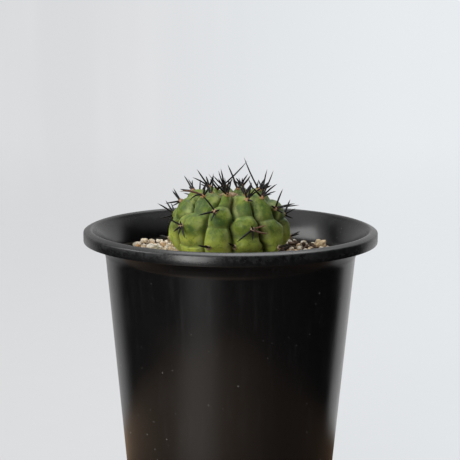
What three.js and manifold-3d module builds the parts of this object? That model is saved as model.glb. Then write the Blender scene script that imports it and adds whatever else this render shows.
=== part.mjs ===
// A young, flattened-round cactus in a tall black plastic pot, with pale grains on its soil.
// Millimetres, +Z up. The origin is the centre of the pot's foot, on the surface that the pot stands on.
// Azimuths are in degrees: 0 is the front (-Y) and 90 is the right (+X).
import * as THREE from "three";
import { mergeVertices } from "three/addons/utils/BufferGeometryUtils.js";
import Module from "manifold-3d";

const wasm = await Module();
wasm.setup();

// Pot
const POT_HEIGHT = 130;
const RIM_RADIUS = 60;
const NECK_INSET = 9; // from the rim's outside in to the wall's outside, where the flare starts
const FLARE_HEIGHT = 12; // from the pot's top down to where the flare starts
const FOOT_RADIUS = 40;
const WALL = 1.6;
const LIP_DEPTH = 5.2; // how far the rim's edge is turned down
const LIP_OVERHANG = 5; // from the rim's outside in to the wall's outside, under the rim
const RIM_CROWN = 1.1; // how far the rim's top is rounded
const FLOOR_THICKNESS = 2;
const FOOT_HEIGHT = 3;
const FOOT_WIDTH = 3.4;
const FOOT_EDGE = 0.5; // chamfer at the foot's edges
const CENTRE_DRAIN_RADIUS = 5;
const DRAIN_RADIUS = 3.5;
const DRAIN_CIRCLE = 23;
const DRAIN_COUNT = 6;
const NOTCH_WIDTH = 8;
const NOTCH_HEIGHT = 2;
const NOTCH_COUNT = 4;
const ROUND_SEGMENTS = 48;

// Soil and top dressing
const SOIL_DROP = 15; // from the pot's top down to the soil
const DRESSING_THICKNESS = 4;
const DRESSING_SWELL = 0.7; // height of the layer's gentle waves
const HEAP_HEIGHT = 1.6; // the heap of grains at the left, towards the back
const HEAP_AZIMUTH = -122;
const HEAP_RADIUS = 42;
const HEAP_SPREAD = 9;
const STONE_SIZE = 2.3; // half of a pebble's middle width
const BARK_SIZE = 2.6; // half of a bark bit's length

// Stem
const STEM_RADIUS = 23.6;
const STEM_RISE = 15.3; // from the widest level up to the shoulders
const STEM_SINK = 20; // from the widest level down to the stem's base
const STEM_LEVEL = 0.3; // height of the widest level above the pot's top
const STEM_SHIFT = -0.5; // the plant stands a little left of the pot's middle
const STEM_FULLNESS = 2.3; // 2 is an ellipse, and more is boxier
const RIB_COUNT = 11;
const RIB_TURN = 18.3; // azimuth of rib 3
const RIB_TWIST = 6; // how far the ribs turn from the widest level to the crown
const GROOVE_DEPTH = 5.2;
const GROOVE_SWAY = 2.6; // how far a groove swings towards the narrower rib
const CHIN = 2; // how far the swelling under an areole stands out
const NOSE = 1.1; // how far the keel that carries an areole stands out
const CROWN_DIP = 3.2;
const CROWN_DIP_RADIUS = 6.5;
const ROOT_RADIUS = 8;
const ROOT_TIP_RADIUS = 1.5;
const ROOT_LENGTH = 26;
const STEM_STEPS_PER_RIB = 6;
const STEM_ROWS = 24;

// Areoles and spines
const WOOL_RADIUS = 1.6;
const WOOL_THICKNESS = 1.1;
const CROWN_WOOL_RADIUS = 4.2;
const CROWN_WOOL_THICKNESS = 1.9;
const YOUNG_AREOLES = 6; // around the crown's wool
const YOUNG_HEIGHT = 74; // their place on the rib, in degrees
const SPINE_RADIUS = 0.38;

// Fits
const CLEARANCE = 0.3; // between pieces that touch
const SPINE_GAP = 0.95; // between the middles of two crossing spines
const CRUMB_VOLUME = 0.02; // mm3

const DEG = Math.PI / 180;
const STEM_Z = POT_HEIGHT + STEM_LEVEL;
const SOIL_TOP = POT_HEIGHT - SOIL_DROP;
const DRESSING_TOP = SOIL_TOP + DRESSING_THICKNESS;
const POT_FLOOR = FOOT_HEIGHT + FLOOR_THICKNESS;

// Ribs that wander from even spacing, keyed by rib: [place up the rib, degrees to the right].
const RIB_SHIFTS = {
  0: [[8, -13], [30, 0]],
  5: [[2, 12], [26, 0]],
};

// Grooves that wander from even spacing, in the same form, keyed by the rib on their left.
const GROOVE_SHIFTS = {
  0: [[-10, -16], [5, -14], [15, -6], [33, 9], [40, 5], [48, -4], [58, -8], [75, 0]],
  1: [[-10, 2], [10, 3], [38, 3], [45, 7], [62, 10], [78, 0]],
  2: [[-22, 4.9], [-10, 2.9], [13, -2.2], [28, 1.3], [45, -2.6], [70, 0]],
  3: [[-23, 15], [-16, 11.5], [-5, 3.3], [13, -2], [24, -5.8], [47, -5.7], [72, 0]],
  4: [[-15, 16], [0, 14], [20, -4], [38, -9], [55, -6], [75, 0]],
};

// A rib's areoles, by their place up the rib in degrees (0 is the widest level, 90 the crown) and their offset
// from the rib's middle in degrees of azimuth. Ribs 0 to 10 go round to the right.
const EVEN_RIB = [[-10, 0], [32, -1], [62, 3]];
const ODD_RIB = [[9, -2], [53, 2]];
const RIB_AREOLES = [
  [[-12, 0], [38, 0]],
  [[8, -3], [54, 1]],
  [[-10, -4], [30, -2.5], [62, 6]],
  [[-11, -12], [7, 3.5], [50, 3]],
  [[-13, 3], [50, -4]],
  [[-9, 0], [33, -19], [64, 0]],
  ODD_RIB,
  EVEN_RIB,
  ODD_RIB,
  EVEN_RIB,
  ODD_RIB,
];

// Spines: clock angle seen from outside (0 towards the crown, 90 to the right), lift from the surface, length.
const USUAL_SPINES = [
  [-55, 38, 8],
  [-15, 45, 7],
  [40, 40, 8.5],
  [100, 32, 7],
  [178, 34, 6],
  [-112, 32, 7],
];
const LOW_SPINES = [[-60, 40, 5], [50, 40, 5], [5, 50, 4.5]];
const HIGH_SPINES = [[-75, 40, 5.5], [-30, 45, 4], [30, 45, 4.5], [80, 40, 5], [165, 45, 5.5]];
const OWN_SPINES = {
  "1_2": [[-75, 50, 6], [-60, 50, 6], [180, 40, 6.5], [150, 25, 5]],
  "2_1": [[-55, 48, 7.5], [25, 33, 3.5], [-165, 45, 4.5], [150, 30, 4.5], [105, 20, 8]],
  "2_2": [[-130, 30, 9.5], [-165, 18, 7], [0, 50, 5.5], [60, 40, 5]],
  "3_2": [[-45, 45, 8], [-130, 28, 7], [165, 30, 6.5], [95, 40, 4.5]],
  "3_3": [[-100, 35, 13], [-50, 45, 7], [-10, 55, 6.5], [180, 38, 5]],
  "4_2": [[-45, 40, 6.5], [-100, 22, 10.5], [-160, 40, 5], [45, 45, 6], [95, 45, 6.5]],
  "4_3": [[65, 45, 11], [35, 55, 6], [-45, 35, 6], [-5, 55, 7], [175, 38, 4]],
  "5_2": [[35, 50, 12], [55, 50, 11.5], [100, 50, 7.5], [140, 50, 6.5], [-55, 35, 6]],
  "6_2": [[50, 45, 10.5], [120, 40, 8], [130, 40, 11], [175, 28, 4], [-40, 45, 4]],
  "6_3": [[10, 40, 13.5], [-10, 40, 4.5], [95, 50, 5.5], [170, 42, 6]],
  "7_1": [[30, 35, 7.5], [-45, 45, 5.5], [-115, 40, 4]],
  "9_2": [[20, 50, 8], [5, 50, 6.5], [75, 50, 7], [-80, 40, 5], [170, 45, 6]],
  "10_3": [[95, 50, 8.5], [50, 50, 11], [25, 50, 5.5], [-60, 45, 5], [165, 40, 5]],
  "11_2": [[-110, 50, 9], [-75, 45, 5.5], [-120, 30, 4.5], [170, 40, 5]],
};
const YOUNG_SPINES = [
  [[-80, 50, 9.5], [-105, 45, 7], [-140, 50, 5.5]],
  [[-175, 50, 11.5], [-140, 50, 7], [160, 50, 6.5], [-60, 50, 5]],
  [[110, 50, 5.5], [15, 50, 7.5], [40, 50, 6.5]],
  [[100, 50, 7], [-140, 45, 5], [20, 60, 5]],
  [[130, 50, 11], [120, 50, 4], [-85, 40, 8]],
  [[-100, 50, 16], [120, 40, 5.5], [40, 50, 5]],
];

const mod = (a, n) => ((a % n) + n) % n;
const mix = (a, b, f) => a + (b - a) * f;

// The same pseudo-random sequence on every run.
function makeRandom(seed) {
  let state = seed;
  return () => {
    state = (state * 16807) % 2147483647;
    return state / 2147483647;
  };
}

// A closed triangle mesh as a solid, and back.
function solid(geometry) {
  const bare = geometry.clone();
  bare.deleteAttribute("normal");
  bare.deleteAttribute("uv");
  const merged = mergeVertices(bare, 1e-4);
  return new wasm.Manifold(
    new wasm.Mesh({
      numProp: 3,
      vertProperties: merged.attributes.position.array,
      triVerts: new Uint32Array(merged.index.array),
    }),
  );
}

function geometryOf(body) {
  const mesh = body.getMesh();
  const geometry = new THREE.BufferGeometry();
  geometry.setAttribute("position", new THREE.BufferAttribute(mesh.vertProperties, 3));
  geometry.setIndex(new THREE.BufferAttribute(mesh.triVerts, 1));
  geometry.computeVertexNormals();
  return geometry;
}

// Cuts one solid by another, and leaves out the crumbs of almost no size that a cut along a facet can leave.
function trimmed(body, cutter) {
  const parts = body.subtract(cutter).decompose();
  return wasm.Manifold.union(parts.filter((part) => part.volume() > CRUMB_VOLUME));
}

// A solid of revolution about +Z from [radius, z] points that run upwards on the outside.
function turned(points, segments = ROUND_SEGMENTS) {
  const profile = points.map(([r, z]) => new THREE.Vector2(r, z));
  return new THREE.LatheGeometry(profile, segments).rotateX(Math.PI / 2);
}

function place(azimuth, radius, z) {
  return new THREE.Vector3(radius * Math.sin(azimuth * DEG), -radius * Math.cos(azimuth * DEG), z);
}

// Pot -----------------------------------------------------------------------------------------------------

// Outside radius of the pot's wall at a height, without its rim.
function wallRadius(z) {
  const neckZ = POT_HEIGHT - FLARE_HEIGHT;
  const neck = RIM_RADIUS - NECK_INSET;
  if (z <= neckZ) return mix(FOOT_RADIUS, neck, z / neckZ);
  const f = (z - neckZ) / FLARE_HEIGHT;
  return neck + (RIM_RADIUS - WALL - 1 - neck) * Math.pow(f, 1.7);
}

const innerRadius = (z) => wallRadius(z) - WALL;

function makePot() {
  const neckZ = POT_HEIGHT - FLARE_HEIGHT;
  const lipBottom = POT_HEIGHT - LIP_DEPTH;
  const underRim = RIM_RADIUS - LIP_OVERHANG;
  const footInside = FOOT_RADIUS - FOOT_WIDTH;
  const outside = [
    [0, FOOT_HEIGHT],
    [footInside - 0.4, FOOT_HEIGHT],
    [footInside, FOOT_EDGE],
    [footInside + FOOT_EDGE, 0],
    [FOOT_RADIUS - FOOT_EDGE, 0],
    [FOOT_RADIUS, FOOT_EDGE],
    [wallRadius(neckZ), neckZ],
    [mix(wallRadius(neckZ), underRim, 0.22), mix(neckZ, lipBottom, 0.4)],
    [mix(wallRadius(neckZ), underRim, 0.58), mix(neckZ, lipBottom, 0.75)],
    [underRim, lipBottom],
    [underRim + 0.8, POT_HEIGHT - WALL - 0.9],
    [RIM_RADIUS - WALL - 0.7, POT_HEIGHT - WALL - 0.9],
    [RIM_RADIUS - WALL + 0.1, lipBottom + 0.4],
    [RIM_RADIUS - WALL + 0.5, lipBottom],
    [RIM_RADIUS - 0.5, lipBottom],
    [RIM_RADIUS, lipBottom + 0.5],
    [RIM_RADIUS, POT_HEIGHT - RIM_CROWN - 0.4],
    [RIM_RADIUS - 0.4, POT_HEIGHT - RIM_CROWN + 0.2],
    [RIM_RADIUS - 1.4, POT_HEIGHT - 0.3],
    [RIM_RADIUS - 2.4, POT_HEIGHT],
    [RIM_RADIUS - 3.2, POT_HEIGHT - 0.2],
  ];
  const inside = [
    [RIM_RADIUS - 4, POT_HEIGHT - 1],
    [mix(innerRadius(neckZ), RIM_RADIUS - 4, 0.62), POT_HEIGHT - 3.4],
    [mix(innerRadius(neckZ), RIM_RADIUS - 4, 0.3), POT_HEIGHT - 6.8],
    [innerRadius(neckZ) + 0.35, POT_HEIGHT - 10],
    [innerRadius(neckZ - 2), neckZ - 2],
    [innerRadius(POT_FLOOR + 2), POT_FLOOR + 2],
    [innerRadius(POT_FLOOR) - 1.6, POT_FLOOR],
    [0, POT_FLOOR],
  ];
  let pot = solid(turned([...outside, ...inside]));
  const drill = (radius, x, y) => {
    const length = FLOOR_THICKNESS + 2;
    const tool = new THREE.CylinderGeometry(radius, radius, length, 20).rotateX(Math.PI / 2);
    tool.translate(x, y, FOOT_HEIGHT + FLOOR_THICKNESS / 2);
    pot = pot.subtract(solid(tool));
  };
  drill(CENTRE_DRAIN_RADIUS, 0, 0);
  for (let i = 0; i < DRAIN_COUNT; i++) {
    const spot = place((i * 360) / DRAIN_COUNT, DRAIN_CIRCLE, 0);
    drill(DRAIN_RADIUS, spot.x, spot.y);
  }
  for (let i = 0; i < NOTCH_COUNT; i++) {
    const tool = new THREE.BoxGeometry(FOOT_WIDTH * 3, NOTCH_WIDTH, NOTCH_HEIGHT * 2);
    tool.translate(FOOT_RADIUS - FOOT_WIDTH / 2, 0, 0);
    tool.rotateZ(((i + 0.5) * 2 * Math.PI) / NOTCH_COUNT);
    pot = pot.subtract(solid(tool));
  }
  return geometryOf(pot);
}

// Stem ----------------------------------------------------------------------------------------------------

// The meridian of the rib crests at a place in degrees: radius, height from the widest level, outward normal.
function crest(t, grow = 0) {
  const e = 2 / STEM_FULLNESS;
  const c = Math.max(Math.cos(t * DEG), 0);
  const s = Math.abs(Math.sin(t * DEG));
  const radius = STEM_RADIUS + grow;
  const height = (t > 0 ? STEM_RISE : STEM_SINK) + grow;
  const r = radius * Math.pow(c, e);
  const dip = t > 0 ? CROWN_DIP * Math.exp(-((r / CROWN_DIP_RADIUS) ** 2)) : 0;
  const z = Math.sign(t) * height * Math.pow(s, e) - dip;
  const slopeR = Math.pow(c, 2 - e) / radius;
  const slopeZ = (Math.sign(t) * Math.pow(s, 2 - e)) / height;
  const size = Math.hypot(slopeR, slopeZ);
  return { r, z, nr: slopeR / size, nz: slopeZ / size };
}

const ribAreoles = (k) => RIB_AREOLES[mod(k, RIB_COUNT)];
const evenMiddle = (k, t) => RIB_TURN + ((k - 3) * 360) / RIB_COUNT + (RIB_TWIST * t) / 90;
const ribMiddle = (k, t) => evenMiddle(k, t) + wander(RIB_SHIFTS[mod(k, RIB_COUNT)] ?? [[0, 0]], t);

// The shift at a place, running smoothly from one listed place to the next.
function wander(shifts, t) {
  const next = shifts.findIndex(([place]) => place > t);
  if (next === 0) return shifts[0][1];
  if (next < 0) return shifts[shifts.length - 1][1];
  const [low, before] = shifts[next - 1];
  const [high, after] = shifts[next];
  return mix(before, after, (1 - Math.cos((Math.PI * (t - low)) / (high - low))) / 2);
}


// How far the rib swells at a place: 1 at the shoulder of each tubercle, 0 in the pleats between them.
function swelling(k, t) {
  const marks = ribAreoles(k).map(([place]) => place);
  const all = [2 * marks[0] - (marks[1] ?? marks[0] + 40), ...marks, 100];
  for (let i = 1; i < all.length - 1; i++) {
    const low = (all[i - 1] + all[i]) / 2;
    const high = (all[i] + all[i + 1]) / 2;
    if (t < low || t > high) continue;
    const f = (t - low) / (high - low);
    return Math.pow(Math.sin(Math.PI * Math.pow(f, 1.6)), 0.75);
  }
  return 0.4;
}

// The groove between rib k and rib k + 1, in degrees of azimuth.
function grooveAzimuth(k, t) {
  const middle = (evenMiddle(k, t) + evenMiddle(k + 1, t)) / 2;
  const shifts = GROOVE_SHIFTS[mod(k, RIB_COUNT)];
  return middle + (shifts ? wander(shifts, t) : GROOVE_SWAY * (swelling(k, t) - swelling(k + 1, t)));
}

// How far the keels round a rib's areoles stand out at a place.
function keel(k, t, azimuth) {
  let height = 0;
  for (const [mark, offset] of ribAreoles(k)) {
    const away = (t - mark) / (t < mark ? 15 : 9);
    const side = Math.abs(azimuth - ribMiddle(k, mark) - offset) / 15;
    height += NOSE * Math.exp(-away * away) * Math.max(0, 1 - side);
  }
  return height;
}

// Where an offset in degrees from the rib's middle lies between its two grooves.
function acrossAt(k, t, offset) {
  const edge = offset < 0 ? grooveAzimuth(k - 1, t) : grooveAzimuth(k, t);
  return Math.max(-0.85, Math.min(0.85, offset / Math.abs(edge - ribMiddle(k, t))));
}

// A point of the stem's skin: rib k, place t up the rib, and across from -1 to 1 between the rib's two grooves.
function skinPoint(k, t, across, grow = 0) {
  const { r, z, nr, nz } = crest(t, grow);
  const middle = ribMiddle(k, t);
  const edge = across < 0 ? grooveAzimuth(k - 1, t) : grooveAzimuth(k, t);
  const azimuth = mix(middle, edge, Math.abs(across));
  const depth = GROOVE_DEPTH * Math.pow(r / (STEM_RADIUS + grow), 0.75);
  const a = Math.abs(across);
  const swell = swelling(k, t);
  const hollow = depth * (1 - Math.pow(1 - Math.pow(a, mix(1.8, 2.7, swell)), 0.6));
  const chin = (CHIN * (swell - 0.6) * (1 - a * a) + keel(k, t, azimuth)) * Math.min(1, r / 10);
  const lift = chin - hollow;
  const radius = Math.max(r + nr * lift, 0);
  const point = place(azimuth, radius, STEM_Z + z + nz * lift);
  point.x += STEM_SHIFT;
  return point;
}

// The stem without its root. grow makes it larger all over, for cutting what sits on it.
function stemBody(grow = 0) {
  const around = RIB_COUNT * STEM_STEPS_PER_RIB;
  const positions = [];
  const index = [];
  const bottom = crest(-90, grow);
  const top = crest(90, grow);
  const rowPlace = (row) => mix(-78, 84, row / (STEM_ROWS - 1));
  positions.push(STEM_SHIFT, 0, STEM_Z + bottom.z);
  for (let row = 0; row < STEM_ROWS; row++) {
    for (let i = 0; i < around; i++) {
      const k = Math.floor(i / STEM_STEPS_PER_RIB);
      const across = (2 * mod(i, STEM_STEPS_PER_RIB)) / STEM_STEPS_PER_RIB - 1;
      positions.push(...skinPoint(k, rowPlace(row), across, grow).toArray());
    }
  }
  positions.push(STEM_SHIFT, 0, STEM_Z + top.z);
  const at = (row, i) => 1 + row * around + mod(i, around);
  const last = 1 + STEM_ROWS * around;
  for (let i = 0; i < around; i++) {
    index.push(0, at(0, i + 1), at(0, i));
    index.push(last, at(STEM_ROWS - 1, i), at(STEM_ROWS - 1, i + 1));
    for (let row = 0; row < STEM_ROWS - 1; row++) {
      index.push(at(row, i), at(row, i + 1), at(row + 1, i + 1));
      index.push(at(row, i), at(row + 1, i + 1), at(row + 1, i));
    }
  }
  const geometry = new THREE.BufferGeometry();
  geometry.setAttribute("position", new THREE.Float32BufferAttribute(positions, 3));
  geometry.setIndex(index);
  return solid(geometry);
}

const ROOT_TOP = STEM_Z - STEM_SINK + 3;
const ROOT_BOTTOM = STEM_Z - STEM_SINK - ROOT_LENGTH;

function makeStem() {
  const rootOutline = [
    [0, ROOT_BOTTOM],
    [ROOT_TIP_RADIUS, ROOT_BOTTOM],
    [ROOT_RADIUS, ROOT_TOP],
    [0, ROOT_TOP],
  ];
  const root = turned(rootOutline, 16);
  root.translate(STEM_SHIFT, 0, 0);
  return geometryOf(stemBody().add(solid(root)));
}

// The hollow that the stem and its root leave in the soil and in the layer of grains.
function stemHollow() {
  const grow = CLEARANCE + CHIN * 0.4;
  const points = [
    [0, ROOT_BOTTOM - CLEARANCE],
    [ROOT_TIP_RADIUS + CLEARANCE, ROOT_BOTTOM - CLEARANCE],
    [ROOT_RADIUS + CLEARANCE, ROOT_TOP - 3 - CLEARANCE],
  ];
  for (let t = -60; t <= 0; t += 12) {
    const { r, z } = crest(t, grow);
    points.push([Math.max(r, ROOT_RADIUS + grow), STEM_Z + z]);
  }
  const top = STEM_Z + STEM_RISE;
  points.push([STEM_RADIUS + grow, top], [0, top]);
  const hollow = turned(points);
  hollow.translate(STEM_SHIFT, 0, 0);
  return solid(hollow);
}

// Areoles and spines --------------------------------------------------------------------------------------

// An areole's place and directions: out of the skin, up towards the crown, and right.
function areoleFrame(k, t, offset) {
  const across = acrossAt(k, t, offset);
  const spot = skinPoint(k, t, across);
  const up = skinPoint(k, t + 3, across).sub(skinPoint(k, t - 3, across)).normalize();
  const along = skinPoint(k, t, Math.min(across + 0.2, 1)).sub(skinPoint(k, t, Math.max(across - 0.2, -1)));
  const out = along.clone().cross(up).normalize();
  const right = up.clone().cross(out).normalize();
  return { spot, out, up, right };
}

function spineDirection(frame, clock, lift) {
  const flat = frame.up
    .clone()
    .multiplyScalar(Math.cos(clock * DEG))
    .addScaledVector(frame.right, Math.sin(clock * DEG));
  return flat.multiplyScalar(Math.cos(lift * DEG)).addScaledVector(frame.out, Math.sin(lift * DEG));
}

// The least distance between two straight spines, each from a to b.
function spineDistance(one, two) {
  const u = one.b.clone().sub(one.a);
  const v = two.b.clone().sub(two.a);
  const w = one.a.clone().sub(two.a);
  const [a, b, c, d, e] = [u.dot(u), u.dot(v), v.dot(v), u.dot(w), v.dot(w)];
  const clamp = (x) => Math.min(Math.max(x, 0), 1);
  let s = clamp((b * e - c * d) / Math.max(a * c - b * b, 1e-9));
  const f = clamp((b * s + e) / c);
  s = clamp((b * f - d) / a);
  return w.addScaledVector(u, s).addScaledVector(v, -f).length();
}

// Turns a spine, a little more each time, until it passes clear of the spines that stand already.
function settleSpine(frame, clock, lift, length, standing) {
  let spine;
  for (let step = 0; step < 60; step++) {
    const swing = Math.ceil((step % 15) / 2) * 8 * (step % 2 ? 1 : -1);
    const rise = Math.floor(step / 15) * 9;
    const direction = spineDirection(frame, clock + swing, Math.min(lift + rise, 85));
    spine = { a: frame.spot, b: frame.spot.clone().addScaledVector(direction, length) };
    if (standing.every((other) => spineDistance(spine, other) > SPINE_GAP)) return spine;
  }
  return spine;
}

// A tapered four-sided spine from a to b.
function spineSolid({ a, b }) {
  const length = a.distanceTo(b);
  const cone = new THREE.ConeGeometry(SPINE_RADIUS, length, 4).translate(0, length / 2, 0);
  const turn = new THREE.Quaternion().setFromUnitVectors(
    new THREE.Vector3(0, 1, 0),
    b.clone().sub(a).normalize(),
  );
  return solid(cone.applyQuaternion(turn).translate(a.x, a.y, a.z));
}

function woolPad({ spot, out, up, right }, radius, thickness) {
  const pad = new THREE.SphereGeometry(1, 8, 5).scale(radius, radius, thickness);
  pad.applyMatrix4(new THREE.Matrix4().makeBasis(right, up, out)).translate(spot.x, spot.y, spot.z);
  return solid(pad);
}

// Every spine cluster, from the bottom of the plant to its crown: its name, frame, spines and wool size.
function areolePlan() {
  const plan = [];
  for (let k = 0; k < RIB_COUNT; k++) {
    ribAreoles(k).forEach(([t, offset], j) => {
      let spines = t < -5 ? LOW_SPINES : t > 45 ? HIGH_SPINES : USUAL_SPINES;
      spines = OWN_SPINES[`${k + 1}_${j + 1}`] ?? spines;
      plan.push({ name: `areole_rib${k + 1}_${j + 1}`, frame: areoleFrame(k, t, offset), spines, wool: 1 });
    });
  }
  for (let i = 0; i < YOUNG_AREOLES; i++) {
    const k = Math.round((i * RIB_COUNT) / YOUNG_AREOLES);
    const frame = areoleFrame(k, YOUNG_HEIGHT, 0);
    const spines = YOUNG_SPINES[i % YOUNG_SPINES.length];
    plan.push({ name: `areole_crown_${i + 1}`, frame, spines, wool: 0.7 });
  }
  return plan;
}

function makeAreoles() {
  const skin = stemBody(CLEARANCE + 0.05);
  const random = makeRandom(4241);
  const standing = [];
  return areolePlan().map(({ name, frame, spines, wool }) => {
    const own = spines.map(([clock, lift, length]) => {
      const reach = length * mix(0.92, 1.08, random());
      return settleSpine(frame, clock + mix(-5, 5, random()), lift, reach, standing);
    });
    standing.push(...own);
    let body = woolPad(frame, WOOL_RADIUS * wool, WOOL_THICKNESS * wool);
    own.forEach((spine) => {
      body = body.add(spineSolid(spine));
    });
    return [name, geometryOf(trimmed(body, skin))];
  });
}

function makeCrownWool() {
  const frame = {
    spot: new THREE.Vector3(STEM_SHIFT, 0, STEM_Z + crest(90).z + 0.5),
    out: new THREE.Vector3(0, 0, 1),
    up: new THREE.Vector3(0, 1, 0),
    right: new THREE.Vector3(1, 0, 0),
  };
  const pad = woolPad(frame, CROWN_WOOL_RADIUS, CROWN_WOOL_THICKNESS);
  return geometryOf(trimmed(pad, stemBody(CLEARANCE + 0.05)));
}

// Soil and grains -----------------------------------------------------------------------------------------

function makeSoil() {
  const inside = (z) => innerRadius(z) - CLEARANCE;
  const bottom = POT_FLOOR + CLEARANCE;
  const block = turned([
    [0, bottom],
    [innerRadius(POT_FLOOR) - 2.2, bottom],
    [inside(POT_FLOOR + 2.5) - 0.2, POT_FLOOR + 2.5],
    [inside(SOIL_TOP), SOIL_TOP],
    [0, SOIL_TOP],
  ]);
  return geometryOf(solid(block).subtract(stemHollow()));
}

// Height of the layer's top at a point.
function dressingHeight(x, y) {
  const turn = Math.atan2(y, x);
  const waves = 0.6 * Math.sin(2 * turn + 0.6) + 0.4 * Math.sin(5 * turn + 2);
  const heap = place(HEAP_AZIMUTH, HEAP_RADIUS, 0);
  const away = Math.hypot(x - heap.x, y - heap.y) / HEAP_SPREAD;
  return DRESSING_TOP + DRESSING_SWELL * waves + HEAP_HEIGHT * Math.exp(-away * away);
}

// The layer as a ring from the stem's hollow to the wall. raise lifts its top, for cutting what lies on it.
function dressingBody(raise = 0) {
  const outer = innerRadius(SOIL_TOP) - CLEARANCE;
  const inner = 3;
  const bottom = SOIL_TOP + CLEARANCE;
  const rings = 5;
  const points = [[inner, bottom], [outer, bottom]];
  for (let i = 0; i <= rings; i++) points.push([mix(outer, inner, i / rings), DRESSING_TOP]);
  points.push([inner, bottom]);
  const ring = turned(points);
  const position = ring.attributes.position;
  for (let i = 0; i < position.count; i++) {
    const [x, y, z] = [position.getX(i), position.getY(i), position.getZ(i)];
    if (z > bottom + CLEARANCE) position.setZ(i, dressingHeight(x, y) + raise);
  }
  return solid(ring);
}

function makeDressing() {
  return geometryOf(dressingBody().subtract(stemHollow()));
}

// Where a loose piece lies: azimuth, and how far from the stem (0) to the wall (1).
const STONE_SPOTS = [
  [-116, 0.72],
  [-101, 0.34],
  [-134, 0.4],
  [-152, 0.74],
  [-84, 0.78],
  [-58, 0.42],
  [-22, 0.7],
  [14, 0.4],
  [50, 0.7],
  [84, 0.42],
  [112, 0.74],
  [176, 0.5],
];
const BARK_SPOTS = [
  [128, 0.34],
  [99, 0.72],
  [146, 0.68],
  [-30, 0.36],
];

function looseSpot([azimuth, f]) {
  const near = STEM_RADIUS + BARK_SIZE;
  const far = innerRadius(SOIL_TOP) - CLEARANCE - BARK_SIZE;
  const spot = place(azimuth, mix(near, far, f), 0);
  spot.z = dressingHeight(spot.x, spot.y);
  return spot;
}

// A rounded pebble that lies on the layer.
function makeStone(spot, random) {
  const size = STONE_SIZE * mix(0.75, 1.1, random());
  const stone = new THREE.IcosahedronGeometry(1, 1);
  stone.scale(size * mix(0.95, 1.15, random()), size * mix(0.8, 1, random()), size * mix(0.65, 0.85, random()));
  stone.rotateX(mix(-0.4, 0.4, random())).rotateZ(random() * 2 * Math.PI);
  const at = looseSpot(spot);
  stone.translate(at.x, at.y, at.z + size * 0.6);
  return geometryOf(trimmed(solid(stone), dressingBody(CLEARANCE)));
}

// A flat splinter of bark that lies on the layer.
function makeBark(spot, random) {
  const outline = new THREE.Shape();
  outline.moveTo(-1, -0.35);
  outline.lineTo(-0.3, -0.5);
  outline.lineTo(0.8, -0.38);
  outline.lineTo(1, 0.1);
  outline.lineTo(0.3, 0.45);
  outline.lineTo(-0.75, 0.4);
  const bark = new THREE.ExtrudeGeometry(outline, { depth: 0.4, bevelEnabled: false });
  bark.scale(BARK_SIZE, BARK_SIZE, BARK_SIZE);
  bark.rotateX(mix(-0.15, 0.15, random())).rotateZ(random() * 2 * Math.PI);
  const at = looseSpot(spot);
  bark.translate(at.x, at.y, at.z + 0.1);
  return geometryOf(trimmed(solid(bark), dressingBody(CLEARANCE)));
}

// Assembly ------------------------------------------------------------------------------------------------

const plant = new THREE.Group();

function addPiece(name, geometry, color, roughness, metalness = 0) {
  const mesh = new THREE.Mesh(geometry, new THREE.MeshStandardMaterial({ color, roughness, metalness }));
  mesh.name = name;
  plant.add(mesh);
}

addPiece("pot", makePot(), 0x1d1d1e, 0.42);
addPiece("potting_soil", makeSoil(), 0x2e241b, 0.95);
addPiece("top_dressing", makeDressing(), 0xcbb994, 0.9);
addPiece("stem", makeStem(), 0x63763a, 0.55);
addPiece("crown_wool", makeCrownWool(), 0x9a7550, 0.95);
makeAreoles().forEach(([name, geometry]) => addPiece(name, geometry, 0x1a1614, 0.5));

const looseRandom = makeRandom(977);
const label = (i) => String(i + 1).padStart(2, "0");
STONE_SPOTS.forEach((spot, i) => addPiece(`stone_${label(i)}`, makeStone(spot, looseRandom), 0xd8c6a0, 0.85));
BARK_SPOTS.forEach((spot, i) => addPiece(`bark_${label(i)}`, makeBark(spot, looseRandom), 0x3a2618, 0.9));

export default plant;
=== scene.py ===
"""A young, flattened-round cactus in a tall black plastic pot, with pale grains on its soil.

Shapes are worked out in millimetres and the finished meshes are in metres, +Z up, with the origin at the
middle of the pot's foot. Azimuths are in degrees: 0 is the front (-Y) and 90 is the right (+X).
"""
import math
import random

import bpy
from mathutils import Matrix, Quaternion, Vector, noise


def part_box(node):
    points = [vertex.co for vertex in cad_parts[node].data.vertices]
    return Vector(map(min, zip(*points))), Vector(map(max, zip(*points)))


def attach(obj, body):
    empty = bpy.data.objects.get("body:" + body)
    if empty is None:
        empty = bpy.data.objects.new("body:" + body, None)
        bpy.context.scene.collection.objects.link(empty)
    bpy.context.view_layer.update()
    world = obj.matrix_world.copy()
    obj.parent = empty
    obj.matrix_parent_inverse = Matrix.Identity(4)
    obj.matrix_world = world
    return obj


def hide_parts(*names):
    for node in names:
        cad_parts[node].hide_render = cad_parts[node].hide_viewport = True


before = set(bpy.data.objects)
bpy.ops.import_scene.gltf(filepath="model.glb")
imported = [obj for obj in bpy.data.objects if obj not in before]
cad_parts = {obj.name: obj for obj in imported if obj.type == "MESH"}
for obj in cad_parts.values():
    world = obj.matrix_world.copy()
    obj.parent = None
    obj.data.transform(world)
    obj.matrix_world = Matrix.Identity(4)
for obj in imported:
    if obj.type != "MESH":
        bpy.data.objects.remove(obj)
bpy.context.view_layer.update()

MM = 0.001
DEG = math.pi / 180

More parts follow.
